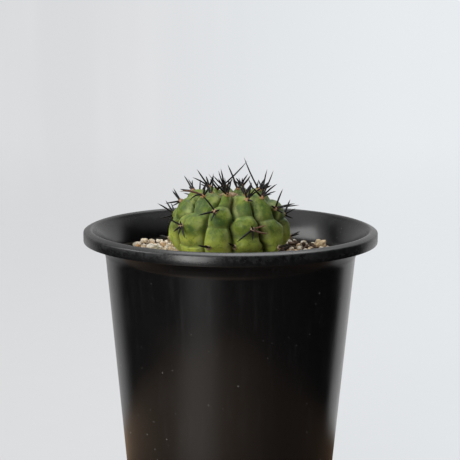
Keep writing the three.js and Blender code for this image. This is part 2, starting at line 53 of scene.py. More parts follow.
# Pot
POT_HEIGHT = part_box("pot")[1].z / MM
RIM_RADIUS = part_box("pot")[1].x / MM
NECK_INSET = 9  # from the rim's outside in to the wall's outside, where the flare starts
FLARE_HEIGHT = 12  # from the pot's top down to where the flare starts
FLARE_CURVE = 1.7  # 1 is a straight flare, and more starts it slower
INNER_FLARE_CURVE = 1.45
RIM_WIDTH = 4
FOOT_RADIUS = 40
WALL = 1.6
LIP_DEPTH = 5.2
LIP_OVERHANG = 5
RIM_CROWN = 1.1
FLOOR_THICKNESS = 2
FOOT_HEIGHT = 3
FOOT_WIDTH = 3.4
FOOT_EDGE = 0.5
CENTRE_DRAIN_RADIUS = 5
DRAIN_RADIUS = 3.5
DRAIN_CIRCLE = 23
DRAIN_COUNT = 6
NOTCH_WIDTH = 8
NOTCH_HEIGHT = 2
NOTCH_COUNT = 4
POT_FLOOR = FOOT_HEIGHT + FLOOR_THICKNESS
NECK_Z = POT_HEIGHT - FLARE_HEIGHT
NECK_RADIUS = RIM_RADIUS - NECK_INSET
SPIN_STEPS = 160

# Soil and grains
SOIL_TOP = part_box("potting_soil")[1].z / MM
DRESSING_TOP = SOIL_TOP + 4
DRESSING_SWELL = 0.7
HEAP_HEIGHT = 1.6
HEAP_AZIMUTH = -122
HEAP_RADIUS = 42
HEAP_SPREAD = 9
GRIT_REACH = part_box("top_dressing")[1].x / MM  # outside radius of the layer of grains
LOWER_GRAINS = (620, 2.5, 1.75, 2.0)  # count, spacing, size, and depth under the layer's top
UPPER_GRAINS = (520, 2.9, 1.6, 0.5)
CRUMB_AZIMUTH = 129
CRUMB_SPREAD = 22
CRUMB_REACH = 41

# Stem
STEM_RADIUS = 23.6
STEM_RISE = 15.3
STEM_SINK = 20
STEM_Z = POT_HEIGHT + 0.3
STEM_SHIFT = -0.5
STEM_FULLNESS = 2.3
RIB_COUNT = 11
RIB_TURN = 18.3
RIB_TWIST = 6
GROOVE_DEPTH = 5.2
GROOVE_SWAY = 2.6
CHIN = 2
NOSE = 1.1
CROWN_DIP = 3.2
CROWN_DIP_RADIUS = 6.5
ROOT_RADIUS = 8
ROOT_TIP_RADIUS = 1.5
ROOT_LENGTH = 26
ROOT_START = -66  # place down the stem, in degrees, where it narrows to the root
STEPS_PER_RIB = 26
STEM_ROWS = 170

# Areoles and spines
WOOL_RADIUS = 1.6
WOOL_THICKNESS = 1.1
CROWN_WOOL_RADIUS = 4.2
CROWN_WOOL_THICKNESS = 1.9
YOUNG_AREOLES = 6
YOUNG_HEIGHT = 74
SPINE_RADIUS = 0.38
SPINE_GAP = 0.95
SPINE_SEED = 4241
HAIR_RADIUS = 0.06
PAD_HAIRS = 46
CROWN_HAIRS = 320

# A rib's areoles: place up the rib in degrees (0 is the widest level, 90 the crown), offset from its middle.
EVEN_RIB = [(-10, 0), (32, -1), (62, 3)]
ODD_RIB = [(9, -2), (53, 2)]
RIB_AREOLES = [
    [(-12, 0), (38, 0)],
    [(8, -3), (54, 1)],
    [(-10, -4), (30, -2.5), (62, 6)],
    [(-11, -12), (7, 3.5), (50, 3)],
    [(-13, 3), (50, -4)],
    [(-9, 0), (33, -19), (64, 0)],
    ODD_RIB,
    EVEN_RIB,
    ODD_RIB,
    EVEN_RIB,
    ODD_RIB,
]

# Ribs that wander from even spacing: (place up the rib, degrees to the right).
RIB_SHIFTS = {0: [(8, -13), (30, 0)], 5: [(2, 12), (26, 0)]}

# Grooves that wander from even spacing, by the rib on their left: (place up the rib, degrees to the right).
GROOVE_SHIFTS = {
    0: [(-10, -16), (5, -14), (15, -6), (33, 9), (40, 5), (48, -4), (58, -8), (75, 0)],
    1: [(-10, 2), (10, 3), (38, 3), (45, 7), (62, 10), (78, 0)],
    2: [(-22, 4.9), (-10, 2.9), (13, -2.2), (28, 1.3), (45, -2.6), (70, 0)],
    3: [(-23, 15), (-16, 11.5), (-5, 3.3), (13, -2), (24, -5.8), (47, -5.7), (72, 0)],
    4: [(-15, 16), (0, 14), (20, -4), (38, -9), (55, -6), (75, 0)],
}

# Spines: clock angle seen from outside (0 towards the crown, 90 to the right), lift from the surface, length.
USUAL_SPINES = [(-55, 38, 8), (-15, 45, 7), (40, 40, 8.5), (100, 32, 7), (178, 34, 6), (-112, 32, 7)]
LOW_SPINES = [(-60, 40, 5), (50, 40, 5), (5, 50, 4.5)]
HIGH_SPINES = [(-75, 40, 5.5), (-30, 45, 4), (30, 45, 4.5), (80, 40, 5), (165, 45, 5.5)]
OWN_SPINES = {
    "1_2": [(-75, 50, 6), (-60, 50, 6), (180, 40, 6.5), (150, 25, 5)],
    "2_1": [(-55, 48, 7.5), (25, 33, 3.5), (-165, 45, 4.5), (150, 30, 4.5), (105, 20, 8)],
    "2_2": [(-130, 30, 9.5), (-165, 18, 7), (0, 50, 5.5), (60, 40, 5)],
    "3_2": [(-45, 45, 8), (-130, 28, 7), (165, 30, 6.5), (95, 40, 4.5)],
    "3_3": [(-100, 35, 13), (-50, 45, 7), (-10, 55, 6.5), (180, 38, 5)],
    "4_2": [(-45, 40, 6.5), (-100, 22, 10.5), (-160, 40, 5), (45, 45, 6), (95, 45, 6.5)],
    "4_3": [(65, 45, 11), (35, 55, 6), (-45, 35, 6), (-5, 55, 7), (175, 38, 4)],
    "5_2": [(35, 50, 12), (55, 50, 11.5), (100, 50, 7.5), (140, 50, 6.5), (-55, 35, 6)],
    "6_2": [(50, 45, 10.5), (120, 40, 8), (130, 40, 11), (175, 28, 4), (-40, 45, 4)],
    "6_3": [(10, 40, 13.5), (-10, 40, 4.5), (95, 50, 5.5), (170, 42, 6)],
    "7_1": [(30, 35, 7.5), (-45, 45, 5.5), (-115, 40, 4)],
    "9_2": [(20, 50, 8), (5, 50, 6.5), (75, 50, 7), (-80, 40, 5), (170, 45, 6)],
    "10_3": [(95, 50, 8.5), (50, 50, 11), (25, 50, 5.5), (-60, 45, 5), (165, 40, 5)],
    "11_2": [(-110, 50, 9), (-75, 45, 5.5), (-120, 30, 4.5), (170, 40, 5)],
}
YOUNG_SPINES = [
    [(-80, 50, 9.5), (-105, 45, 7), (-140, 50, 5.5)],
    [(-175, 50, 11.5), (-140, 50, 7), (160, 50, 6.5), (-60, 50, 5)],
    [(110, 50, 5.5), (15, 50, 7.5), (40, 50, 6.5)],
    [(100, 50, 7), (-140, 45, 5), (20, 60, 5)],
    [(130, 50, 11), (120, 50, 4), (-85, 40, 8)],
    [(-100, 50, 16), (120, 40, 5.5), (40, 50, 5)],
]

# Spines of their own kind: how far they bow upwards, and how brown they are.
OWN_LOOKS = {
    "areole_rib2_2": {0: (0.5, 1.0), 1: (0.9, 0.3)},
    "areole_rib4_2": {3: (0.1, 0.95), 4: (-0.3, 0.9)},
    "areole_rib4_3": {0: (0.3, 0.2)},
    "areole_rib5_2": {0: (0, 0.2), 1: (0, 0.2), 2: (0.3, 0), 3: (0.3, 0)},
    "areole_rib6_3": {0: (0, 0)},
    "areole_crown_5": {0: (0.1, 0)},
    "areole_crown_6": {0: (0, 0)},
}

chance = random.Random(20)


def mix(a, b, f):
    return a + (b - a) * f


def at_azimuth(azimuth, radius, z):
    return Vector((radius * math.sin(azimuth * DEG), -radius * math.cos(azimuth * DEG), z))


def stretch(point, x, y, z):
    return Vector((point.x * x, point.y * y, point.z * z))


# Modelling by hand


def select_only(piece):
    bpy.ops.object.select_all(action="DESELECT")
    piece.select_set(True)
    bpy.context.view_layer.objects.active = piece


def apply_modifiers(piece):
    select_only(piece)
    for modifier in list(piece.modifiers):
        bpy.ops.object.modifier_apply(modifier=modifier.name)


def fix_place(piece):
    """Puts the piece's place, turn and size into its mesh."""
    select_only(piece)
    bpy.ops.object.transform_apply(location=True, rotation=True, scale=True)


def new_piece(name):
    """Names the primitive that was just added."""
    piece = bpy.context.object
    piece.name = name
    piece.data.name = name
    fix_place(piece)
    return piece


def start_primitive(add, **settings):
    bpy.ops.object.select_all(action="DESELECT")
    add(**settings)
    return bpy.context.object


def edit(piece, select="SELECT"):
    select_only(piece)
    bpy.ops.object.mode_set(mode="EDIT")
    bpy.ops.mesh.select_mode(type="VERT")
    bpy.ops.mesh.select_all(action=select)


def stop_editing():
    bpy.ops.object.mode_set(mode="OBJECT")


def select_all():
    bpy.ops.mesh.select_all(action="SELECT")


def close_up(threshold=None):
    """In edit mode, merges doubles closer than the threshold, turns faces outwards and stops editing."""
    select_all()
    if threshold:
        bpy.ops.mesh.remove_doubles(threshold=threshold)
    bpy.ops.mesh.normals_make_consistent(inside=False)
    stop_editing()


def select_vertices(piece, wanted):
    """In edit mode, selects just the vertices whose place passes the test."""
    bpy.ops.mesh.select_all(action="DESELECT")
    bpy.ops.object.mode_set(mode="OBJECT")
    for vertex in piece.data.vertices:
        vertex.select = wanted(vertex.co)
    bpy.ops.object.mode_set(mode="EDIT")


def cut_ring(height):
    """In edit mode, cuts a level ring of edges round the whole piece."""
    select_all()
    bpy.ops.mesh.bisect(plane_co=(0, 0, height), plane_no=(0, 0, 1))


def boolean_cut(piece, cutter):
    cut = piece.modifiers.new("cut", "BOOLEAN")
    cut.operation = "DIFFERENCE"
    cut.solver = "EXACT"
    cut.object = cutter
    apply_modifiers(piece)
    bpy.data.objects.remove(cutter)


def smooth(piece, angle):
    select_only(piece)
    bpy.ops.object.shade_smooth_by_angle(angle=angle * DEG)


def to_metres(piece):
    piece.data.transform(Matrix.Scale(MM, 4))
    piece.data.update()


def wear(piece, material):
    piece.data.materials.clear()
    piece.data.materials.append(material)


def mark(mesh, name, values):
    """Gives each of a mesh's points a named value."""
    mesh.attributes.new(name, "FLOAT", "POINT").data.foreach_set("value", values)


def finish(piece, angle, material, slot, *nodes):
    """Smooths the piece, gives it its material, and makes it ride with the pot and stand for CAD nodes."""
    smooth(piece, angle)
    wear(piece, material)
    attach(piece, "root")
    if nodes:
        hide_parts(*nodes)


def shape_of(piece):
    """The piece's points and faces, kept as a shape to copy. The piece itself is removed."""
    points = [vertex.co.copy() for vertex in piece.data.vertices]
    faces = [tuple(face.vertices) for face in piece.data.polygons]
    bpy.data.objects.remove(piece)
    return points, faces


class Gathering:
    """Copies of modelled shapes, gathered into one piece, with named values on their points."""

    def __init__(self, *value_names):
        self.points = []
        self.faces = []
        self.values = {name: [] for name in value_names}

    def add(self, shape, moved, **values):
        """moved turns a point of the shape into its place; a value is a number or a function of the point."""
        points, faces = shape
        first = len(self.points)
        self.points += [moved(point) for point in points]
        self.faces += [tuple(first + corner for corner in face) for face in faces]
        for name, value in values.items():
            self.values[name] += [value(point) if callable(value) else value for point in points]

    def piece(self, name):
        mesh = bpy.data.meshes.new(name)
        mesh.from_pydata([point * MM for point in self.points], [], self.faces)
        for value_name, numbers in self.values.items():
            mark(mesh, value_name, numbers)
        mesh.update()
        piece = bpy.data.objects.new(name, mesh)
        bpy.context.scene.collection.objects.link(piece)
        return piece


# Node helpers


def fill(tree, made, inputs):
    """Gives each input a value, or links it to another node's output. Colours are red, green and blue."""
    for name, value in inputs.items():
        socket = made.inputs[name]
        if hasattr(value, "is_output"):
            tree.links.new(value, socket)
        else:
            socket.default_value = (*value, 1) if socket.type == "RGBA" else value
    return made


def node(tree, kind, inputs=None, **settings):
    made = tree.nodes.new("ShaderNode" + kind)
    for name, value in settings.items():
        setattr(made, name, value)
    return fill(tree, made, inputs or {})


def math_node(tree, operation, a, b=0.0):
    return node(tree, "Math", {0: a, 1: b}, operation=operation).outputs[0]


def times(tree, a, b):
    return math_node(tree, "MULTIPLY", a, b)


def plus(tree, a, b):
    return math_node(tree, "ADD", a, b)


def between(tree, value, low, high, to_low=0.0, to_high=1.0):
    inputs = {"Value": value, "From Min": low, "From Max": high, "To Min": to_low, "To Max": to_high}
    return node(tree, "MapRange", inputs, interpolation_type="SMOOTHSTEP").outputs["Result"]


def blend(tree, factor, a, b):
    """Mixes two colours."""
    return node(tree, "Mix", {0: factor, 6: a, 7: b}, data_type="RGBA").outputs[2]


def tint(tree, colour, mask, amount, other):
    """Lays another colour over the first where the mask is, up to the amount."""
    return blend(tree, times(tree, mask, amount), colour, other)


def noise_value(tree, vector, scale, detail=3.0, roughness=0.55, distortion=0.0):
    inputs = {"Vector": vector, "Scale": scale, "Detail": detail, "Roughness": roughness}
    return node(tree, "TexNoise", {**inputs, "Distortion": distortion}).outputs["Fac"]


def object_place(tree):
    return node(tree, "TexCoord").outputs["Object"]


def split(tree, vector):
    return node(tree, "SeparateXYZ", {0: vector}).outputs


def length_of(tree, vector):
    return node(tree, "VectorMath", {0: vector}, operation="LENGTH").outputs["Value"]


def stretched(tree, vector, scale):
    return node(tree, "Mapping", {"Vector": vector, "Scale": scale}).outputs[0]


def bumped(tree, height, distance):
    return node(tree, "Bump", {"Height": height, "Distance": distance, "Strength": 1.0}).outputs[0]


def attribute(tree, name):
    return node(tree, "Attribute", attribute_name=name).outputs["Fac"]


def start_group(name, inputs, output, kind):
    """A shader node group with named sockets; returns the tree, its inputs and the output node."""
    tree = bpy.data.node_groups.new(name, "ShaderNodeTree")
    for socket, socket_kind in inputs.items():
        tree.interface.new_socket(socket, in_out="INPUT", socket_type=socket_kind)
    tree.interface.new_socket(output, in_out="OUTPUT", socket_type=kind)
    return tree, tree.nodes.new("NodeGroupInput").outputs, tree.nodes.new("NodeGroupOutput")


FLOAT = "NodeSocketFloat"
COLOUR = "NodeSocketColor"
VECTOR = "NodeSocketVector"


def make_mottle():
    """Three colours in soft patches: mostly the first, and the others come through in places."""
    inputs = {"Scale": FLOAT, "First": COLOUR, "Second": COLOUR, "Third": COLOUR}
    tree, given, out = start_group("mottle", inputs, "Color", COLOUR)
    place = object_place(tree)
    broad = noise_value(tree, place, given["Scale"], 4)
    fine = noise_value(tree, place, times(tree, given["Scale"], 3.3), 5, 0.65)
    colour = blend(tree, between(tree, broad, 0.42, 0.62), given["First"], given["Second"])
    fill(tree, out, {"Color": blend(tree, between(tree, fine, 0.5, 0.72), colour, given["Third"])})
    return tree


def make_specks():
    """A mask of small separate specks, with the share of the surface that they cover."""
    tree, given, out = start_group("specks", {"Scale": FLOAT, "Cover": FLOAT}, "Mask", FLOAT)
    value = noise_value(tree, object_place(tree), given["Scale"], 2, 0.5)
    low = math_node(tree, "SUBTRACT", 0.74, times(tree, given["Cover"], 0.5))
    high = plus(tree, low, 0.05)
    made = node(tree, "MapRange", {"Value": value, "From Min": low, "From Max": high})
    fill(tree, out, {"Mask": made.outputs["Result"]})
    return tree


def make_relief():
    """A fine uneven surface: broad and fine bumps together, as a normal."""
    tree, given, out = start_group("relief", {"Scale": FLOAT, "Height": FLOAT}, "Normal", VECTOR)
    place = object_place(tree)
    broad = noise_value(tree, place, given["Scale"], 3)
    fine = noise_value(tree, place, times(tree, given["Scale"], 4.0), 4, 0.6)
    fill(tree, out, {"Normal": bumped(tree, plus(tree, broad, times(tree, fine, 0.35)), given["Height"])})
    return tree


MOTTLE = make_mottle()
SPECKS = make_specks()
RELIEF = make_relief()


def mottle(tree, scale, first, second, third):
    inputs = {"Scale": scale, "First": first, "Second": second, "Third": third}
    return node(tree, "Group", inputs, node_tree=MOTTLE).outputs["Color"]


def specks(tree, scale, cover):
    inputs = {"Scale": scale, "Cover": cover}
    return node(tree, "Group", inputs, node_tree=SPECKS).outputs["Mask"]


def relief(tree, scale, height):
    inputs = {"Scale": scale, "Height": height}
    return node(tree, "Group", inputs, node_tree=RELIEF).outputs["Normal"]


def start_material(name, uniform=None):
    """A material with its one Principled shader; uniform values are set on the shader's own sockets."""
    material = bpy.data.materials.new(name)
    material.use_nodes = True
    tree = material.node_tree
    return material, tree, fill(tree, tree.nodes["Principled BSDF"], uniform or {})


def finish_shader(tree, shader, colour, rough, normal):
    fill(tree, shader, {"Base Color": colour, "Roughness": rough, "Normal": normal})


# Materials


def make_pot_plastic():
    """Black moulded plastic: glossy, scuffed on the rim, with faint upright rubs and a little dust; painted
    shade dims the gloss under the rim.
    """
    material, tree, shader = start_material("pot_plastic")
    place = object_place(tree)
    axes = split(tree, place)
    radius = length_of(tree, node(tree, "CombineXYZ", {0: axes[0], 1: axes[1]}).outputs[0])
    rubs = noise_value(tree, stretched(tree, place, (1, 1, 0.07)), 300, 4, 0.7)
    rubs = between(tree, rubs, 0.5, 0.75)
    on_rim = between(tree, axes[2], (POT_HEIGHT - LIP_DEPTH - 1) * MM, (POT_HEIGHT - RIM_CROWN) * MM)
    outer = between(tree, radius, (RIM_RADIUS - 1.2) * MM, (RIM_RADIUS - 0.3) * MM)
    scuffs = between(tree, noise_value(tree, place, 420, 6, 0.8), 0.4, 0.75)
    scuffs = times(tree, times(tree, on_rim, outer), scuffs)
    dust = between(tree, noise_value(tree, place, 45, 2), 0.45, 0.6)
    dust = times(tree, specks(tree, 650.0, 0.03), dust)
    colour = blend(tree, rubs, (0.0045, 0.0045, 0.0048), (0.0075, 0.0075, 0.008))
    colour = tint(tree, colour, scuffs, 0.5, (0.05, 0.052, 0.056))
    colour = tint(tree, colour, dust, 0.5, (0.25, 0.24, 0.22))
    rough = between(tree, noise_value(tree, place, 55, 4), 0.35, 0.7, 0.17, 0.23)
    for mask, amount in ((rubs, 0.04), (on_rim, 0.08), (scuffs, 0.15), (dust, 0.3)):
        rough = plus(tree, rough, times(tree, mask, amount))
    # Painted shade: the gloss is dimmed on the outside of the flare under the rim, where the rim shades it.
    shaded_gloss = between(tree, attribute(tree, "under_rim"), 0.0, 0.3, 0.5, 0.1)
    fill(tree, shader, {"Specular IOR Level": shaded_gloss})
    finish_shader(tree, shader, colour, rough, relief(tree, 500.0, 0.000008))
    return material


def make_green_skin():
    """Living skin: mottled greens, yellower on the old base, corky towards the grooves, satin; painted shade
    darkens the grooves and pleats, and painted highlights lighten tubercle shoulders and rib edges.
    """
    uniform = {"Subsurface Weight": 0.1, "Subsurface Scale": 0.001, "Specular IOR Level": 0.24}
    material, tree, shader = start_material("green_skin", uniform)
    place = object_place(tree)
    axes = split(tree, place)
    across = attribute(tree, "across")
    swell = attribute(tree, "swell")
    colour = mottle(tree, 165.0, (0.125, 0.18, 0.024), (0.052, 0.1, 0.02), (0.19, 0.25, 0.045))
    cool = between(tree, noise_value(tree, place, 95, 3), 0.52, 0.66)
    cool = times(tree, cool, between(tree, axes[2], 0.126, 0.137))
    base = between(tree, noise_value(tree, place, 120, 3), 0.3, 0.7, -0.25, 0.25)
    base = plus(tree, between(tree, axes[2], 0.1315, 0.127), base)
    base = math_node(tree, "MINIMUM", math_node(tree, "MAXIMUM", base, 0.0), 1.0)
    base = times(tree, base, between(tree, axes[0], 0.012, -0.018, 0.35, 1.0))
    # Painted highlight: paler green on the tubercles' shoulders, where light catches them.
    pale = between(tree, noise_value(tree, place, 230, 4), 0.42, 0.66)
    pale = times(tree, between(tree, swell, 0.6, 1.0), pale)
    # Painted highlight: a pale band along each rib's edge, near the grooves.
    rim = times(tree, between(tree, across, 0.45, 0.72), between(tree, across, 0.95, 0.78))
    rim = times(tree, rim, between(tree, noise_value(tree, place, 170, 3), 0.42, 0.6))
    cork = between(tree, noise_value(tree, place, 90, 5, 0.65), 0.5, 0.66)
    cork = times(tree, between(tree, across, 0.3, 0.9), cork)
    # Painted shade: dark olive deep in the grooves, and darker green in the pleats between tubercles.
    groove = between(tree, across, 0.72, 1.0)
    pleat = between(tree, swell, 0.35, 0.05)
    deep = between(tree, noise_value(tree, place, 520, 4, 0.6, 0.4), 0.5, 0.68)
    flecks = specks(tree, 2600.0, 0.22)
    for mask, amount, other in (
        (cool, 0.55, (0.055, 0.1, 0.04)),
        (base, 0.9, (0.46, 0.54, 0.09)),
        (pale, 0.6, (0.28, 0.34, 0.055)),
        (rim, 0.75, (0.34, 0.39, 0.13)),
        (cork, 0.6, (0.13, 0.115, 0.045)),
        (groove, 0.85, (0.035, 0.042, 0.012)),
        (pleat, 0.45, (0.05, 0.07, 0.02)),
        (deep, 0.5, (0.045, 0.085, 0.022)),
        (flecks, 0.15, (0.3, 0.36, 0.14)),
    ):
        colour = tint(tree, colour, mask, amount, other)
    rough = between(tree, noise_value(tree, place, 300, 4), 0.3, 0.7, 0.42, 0.6)
    finish_shader(tree, shader, colour, rough, relief(tree, 600.0, 0.00012))
    return material


def make_spine_cluster():
    """Black spines, brown towards their bases, on tan wool. part: wool is below 0, a spine runs 0 to 1."""
    material, tree, shader = start_material("spine_cluster", {"Specular IOR Level": 0.25})
    part = attribute(tree, "part")
    tone = attribute(tree, "tone")
    place = object_place(tree)
    is_wool = math_node(tree, "LESS_THAN", part, -0.01)
    horn = blend(tree, between(tree, part, 0.0, 0.22), (0.05, 0.02, 0.012), (0.004, 0.0035, 0.004))
    horn = blend(tree, between(tree, tone, 0.6, 1.0, 0.0, 0.8), horn, (0.13, 0.06, 0.032))
    streaks = noise_value(tree, place, 1800, 3)
    horn = blend(tree, between(tree, streaks, 0.5, 0.8, 0.0, 0.2), horn, (0.05, 0.035, 0.03))
    fluff = noise_value(tree, place, 2400, 4, 0.7)
    old_wool = blend(tree, fluff, (0.2, 0.13, 0.09), (0.55, 0.43, 0.32))
    young_wool = blend(tree, fluff, (0.2, 0.08, 0.03), (0.62, 0.38, 0.19))
    colour = blend(tree, is_wool, horn, blend(tree, tone, old_wool, young_wool))
    rough = plus(tree, times(tree, is_wool, 0.5), 0.4)
    finish_shader(tree, shader, colour, rough, bumped(tree, fluff, 0.00015))
    return material


def make_grain_material(name, colours, rough, scale=900.0, height=0.0002):
    """Loose mineral grains: each has a tone of its own, from 0 to 1, and is mottled and pitted."""
    material, tree, shader = start_material(name)
    ramp = node(tree, "ValToRGB", {"Fac": attribute(tree, "tone")})
    stops = ramp.color_ramp.elements
    while len(stops) < len(colours):
        stops.new(0.5)
    for i, colour in enumerate(colours):
        stops[i].position = i / (len(colours) - 1)
        stops[i].color = (*colour, 1)
    bright = ramp.outputs["Color"]
    patch = between(tree, noise_value(tree, object_place(tree), scale, 4, 0.65), 0.4, 0.7)
    dark = node(tree, "HueSaturation", {"Color": bright, "Value": 0.62}).outputs[0]
    colour = blend(tree, patch, bright, dark)
    colour = tint(tree, colour, specks(tree, 3200.0, 0.15), 0.5, (0.16, 0.1, 0.06))
    rough = between(tree, patch, 0, 1, rough, rough - 0.12)
    finish_shader(tree, shader, colour, rough, relief(tree, scale * 1.4, height))
    return material


def make_soil_material():
    """Dark crumbly soil with paler flecks."""
    material, tree, shader = start_material("soil")
    colour = mottle(tree, 260.0, (0.035, 0.022, 0.014), (0.075, 0.048, 0.03), (0.018, 0.012, 0.009))
    colour = tint(tree, colour, specks(tree, 1200.0, 0.18), 0.8, (0.4, 0.33, 0.23))
    rough = between(tree, noise_value(tree, object_place(tree), 500), 0.3, 0.7, 0.8, 0.97)
    finish_shader(tree, shader, colour, rough, relief(tree, 700.0, 0.0007))
    return material


def make_wool_material():
    """Matted brownish wool at the growing point."""
    material, tree, shader = start_material("crown_wool", {"Sheen Weight": 0.3})
    colour = mottle(tree, 700.0, (0.3, 0.16, 0.07), (0.5, 0.33, 0.18), (0.12, 0.06, 0.03))
    rough = between(tree, noise_value(tree, object_place(tree), 900), 0.3, 0.7, 0.8, 0.98)
    finish_shader(tree, shader, colour, rough, relief(tree, 2200.0, 0.0003))
    return material


def make_bark_material():
    """Dark fibrous bark."""
    material, tree, shader = start_material("bark")
    fibre = noise_value(tree, stretched(tree, object_place(tree), (1, 0.25, 1)), 1500, 5, 0.7)
    colour = blend(tree, fibre, (0.02, 0.011, 0.007), (0.15, 0.075, 0.038))
    rough = between(tree, fibre, 0.2, 0.8, 0.75, 0.95)
    finish_shader(tree, shader, colour, rough, bumped(tree, fibre, 0.0003))
    return material


POT_PLASTIC = make_pot_plastic()
GREEN_SKIN = make_green_skin()
SPINE_CLUSTER = make_spine_cluster()
PALE_COLOURS = [
    (0.8, 0.71, 0.55), (0.88, 0.84, 0.75), (0.72, 0.55, 0.34), (0.86, 0.78, 0.64), (0.66, 0.38, 0.16)
]
DARK_COLOURS = [(0.05, 0.03, 0.018), (0.12, 0.07, 0.04), (0.03, 0.02, 0.014)]
PALE_GRAINS = make_grain_material("pale_grains", PALE_COLOURS, 0.92)
DARK_GRAINS = make_grain_material("dark_crumbs", DARK_COLOURS, 0.95)
SOIL = make_soil_material()
WOOL = make_wool_material()
BARK = make_bark_material()


# Pot


def wall_radius(z):
    """Outside radius of the pot's wall at a height, without its rim."""
    if z <= NECK_Z:
        return mix(FOOT_RADIUS, NECK_RADIUS, z / NECK_Z)
    f = (z - NECK_Z) / FLARE_HEIGHT
    return NECK_RADIUS + (RIM_RADIUS - WALL - 1 - NECK_RADIUS) * f**FLARE_CURVE


def inner_radius(z):
    return wall_radius(z) - WALL


def pot_outline():
    """Half of the pot's section: from the axis under the floor, up outside, over the rim and down inside."""
    rim = RIM_RADIUS
    top = POT_HEIGHT
    lip_bottom = top - LIP_DEPTH
    under_rim = rim - LIP_OVERHANG
    foot_inside = FOOT_RADIUS - FOOT_WIDTH
    points = [
        (0, FOOT_HEIGHT),
        (foot_inside - 0.9, FOOT_HEIGHT),
        (foot_inside - 0.3, FOOT_HEIGHT - 0.2),
        (foot_inside, FOOT_HEIGHT - 0.8),
        (foot_inside, FOOT_EDGE),
        (foot_inside + FOOT_EDGE, 0),
        (FOOT_RADIUS - FOOT_EDGE, 0),
        (FOOT_RADIUS - 0.12, 0.15),
        (FOOT_RADIUS + 0.05, FOOT_EDGE),
    ]
    points += [(wall_radius(NECK_Z * f), NECK_Z * f) for f in (0.25, 0.5, 0.75, 0.93, 1)]
    steps = 8
    for i in range(1, steps + 1):
        f = i / steps
        points.append((mix(NECK_RADIUS, under_rim, f**FLARE_CURVE), mix(NECK_Z, lip_bottom, f)))
    points += [
        (under_rim + 0.3, lip_bottom + 1.2),
        (under_rim + 0.9, top - WALL - 1.1),
        (under_rim + 1.7, top - WALL - 0.8),
        (rim - WALL - 0.9, top - WALL - 0.9),
        (rim - WALL - 0.2, top - WALL - 1.5),
        (rim - WALL + 0.1, lip_bottom + 0.4),
        (rim - WALL + 0.45, lip_bottom),
        (rim - 0.45, lip_bottom),
        (rim - 0.1, lip_bottom + 0.15),
        (rim, lip_bottom + 0.5),
        (rim, top - RIM_CROWN - 0.4),
        (rim - 0.12, top - RIM_CROWN + 0.02),
        (rim - 0.5, top - RIM_CROWN + 0.32),
        (rim - 1.3, top - 0.36),
        (rim - 2.1, top - 0.06),
        (rim - 2.6, top),
        (rim - 3.2, top - 0.16),
        (rim - 3.7, top - 0.56),
    ]
    neck_inside = inner_radius(NECK_Z)
    for f in (0, 0.08, 0.2, 0.34, 0.5, 0.66, 0.84, 1):
        radius = mix(neck_inside + 0.1, rim - RIM_WIDTH, (1 - f) ** INNER_FLARE_CURVE)
        points.append((radius, mix(top - 1, NECK_Z, f)))
    points += [(inner_radius(z), z) for z in (NECK_Z - 4, 80, 40, POT_FLOOR + 3)]
    floor_radius = inner_radius(POT_FLOOR)
    points += [
        (floor_radius - 0.3, POT_FLOOR + 1),
        (floor_radius - 1.4, POT_FLOOR + 0.1),
        (floor_radius - 2.2, POT_FLOOR),
        (0, POT_FLOOR),
    ]
    return points


def spun(name, outline):
    """A closed turned piece: the outline is drawn as wire and spun round the axis."""
    start_primitive(bpy.ops.mesh.primitive_circle_add, vertices=len(outline), radius=1)
    piece = new_piece(name)
    for vertex, (radius, z) in zip(piece.data.vertices, outline):
        vertex.co = (radius, 0, z)
    closing = {len(outline) - 1, 0}
    edit(piece, "DESELECT")
    bpy.ops.mesh.select_mode(type="EDGE")
    stop_editing()
    for wire in piece.data.edges:
        wire.select = set(wire.vertices) == closing
    bpy.ops.object.mode_set(mode="EDIT")
    bpy.ops.mesh.delete(type="EDGE")
    bpy.ops.mesh.select_mode(type="VERT")
    select_all()
    bpy.ops.mesh.spin(steps=SPIN_STEPS, angle=2 * math.pi, center=(0, 0, 0), axis=(0, 0, 1))
    close_up(0.001)
    return piece


def drill(piece, radius, x, y):
    cylinder = {"vertices": 40, "radius": radius, "depth": FLOOR_THICKNESS + 2}
    middle = (x, y, FOOT_HEIGHT + FLOOR_THICKNESS / 2)
    cutter = start_primitive(bpy.ops.mesh.primitive_cylinder_add, location=middle, **cylinder)
    fix_place(cutter)
    boolean_cut(piece, cutter)


def notch(piece, turn):
    cutter = start_primitive(bpy.ops.mesh.primitive_cube_add, size=1)
    cutter.scale = (FOOT_WIDTH * 3, NOTCH_WIDTH, NOTCH_HEIGHT * 2)
    fix_place(cutter)
    radius = FOOT_RADIUS - FOOT_WIDTH / 2
    cutter.location = (radius * math.cos(turn), radius * math.sin(turn), 0)
    cutter.rotation_euler = (0, 0, turn)
    fix_place(cutter)
    boolean_cut(piece, cutter)


def mark_under_rim(pot):
    """Marks the outside of the flare, where the gloss is dimmed as painted shade: 0 at the neck, 1 under the
    rim.
    """
    values = []
    for vertex in pot.data.vertices:
        radius = vertex.co.xy.length / MM
        rise = (vertex.co.z / MM - NECK_Z) / (FLARE_HEIGHT - LIP_DEPTH)
        values.append(0)
        if 0 < rise < 1.02:
            outside = mix(NECK_RADIUS, RIM_RADIUS - LIP_OVERHANG, rise**FLARE_CURVE)
            values[-1] = rise if radius > outside - 0.3 else 0
    mark(pot.data, "under_rim", values)


def make_pot():
    pot = spun("pot_moulding", pot_outline())
    drill(pot, CENTRE_DRAIN_RADIUS, 0, 0)
    for i in range(DRAIN_COUNT):
        spot = at_azimuth(360 * i / DRAIN_COUNT, DRAIN_CIRCLE, 0)
        drill(pot, DRAIN_RADIUS, spot.x, spot.y)
    for i in range(NOTCH_COUNT):
        notch(pot, (i + 0.5) * 2 * math.pi / NOTCH_COUNT)
    to_metres(pot)
    mark_under_rim(pot)
    finish(pot, 38, POT_PLASTIC, "pot_plastic", "pot")


# Stem


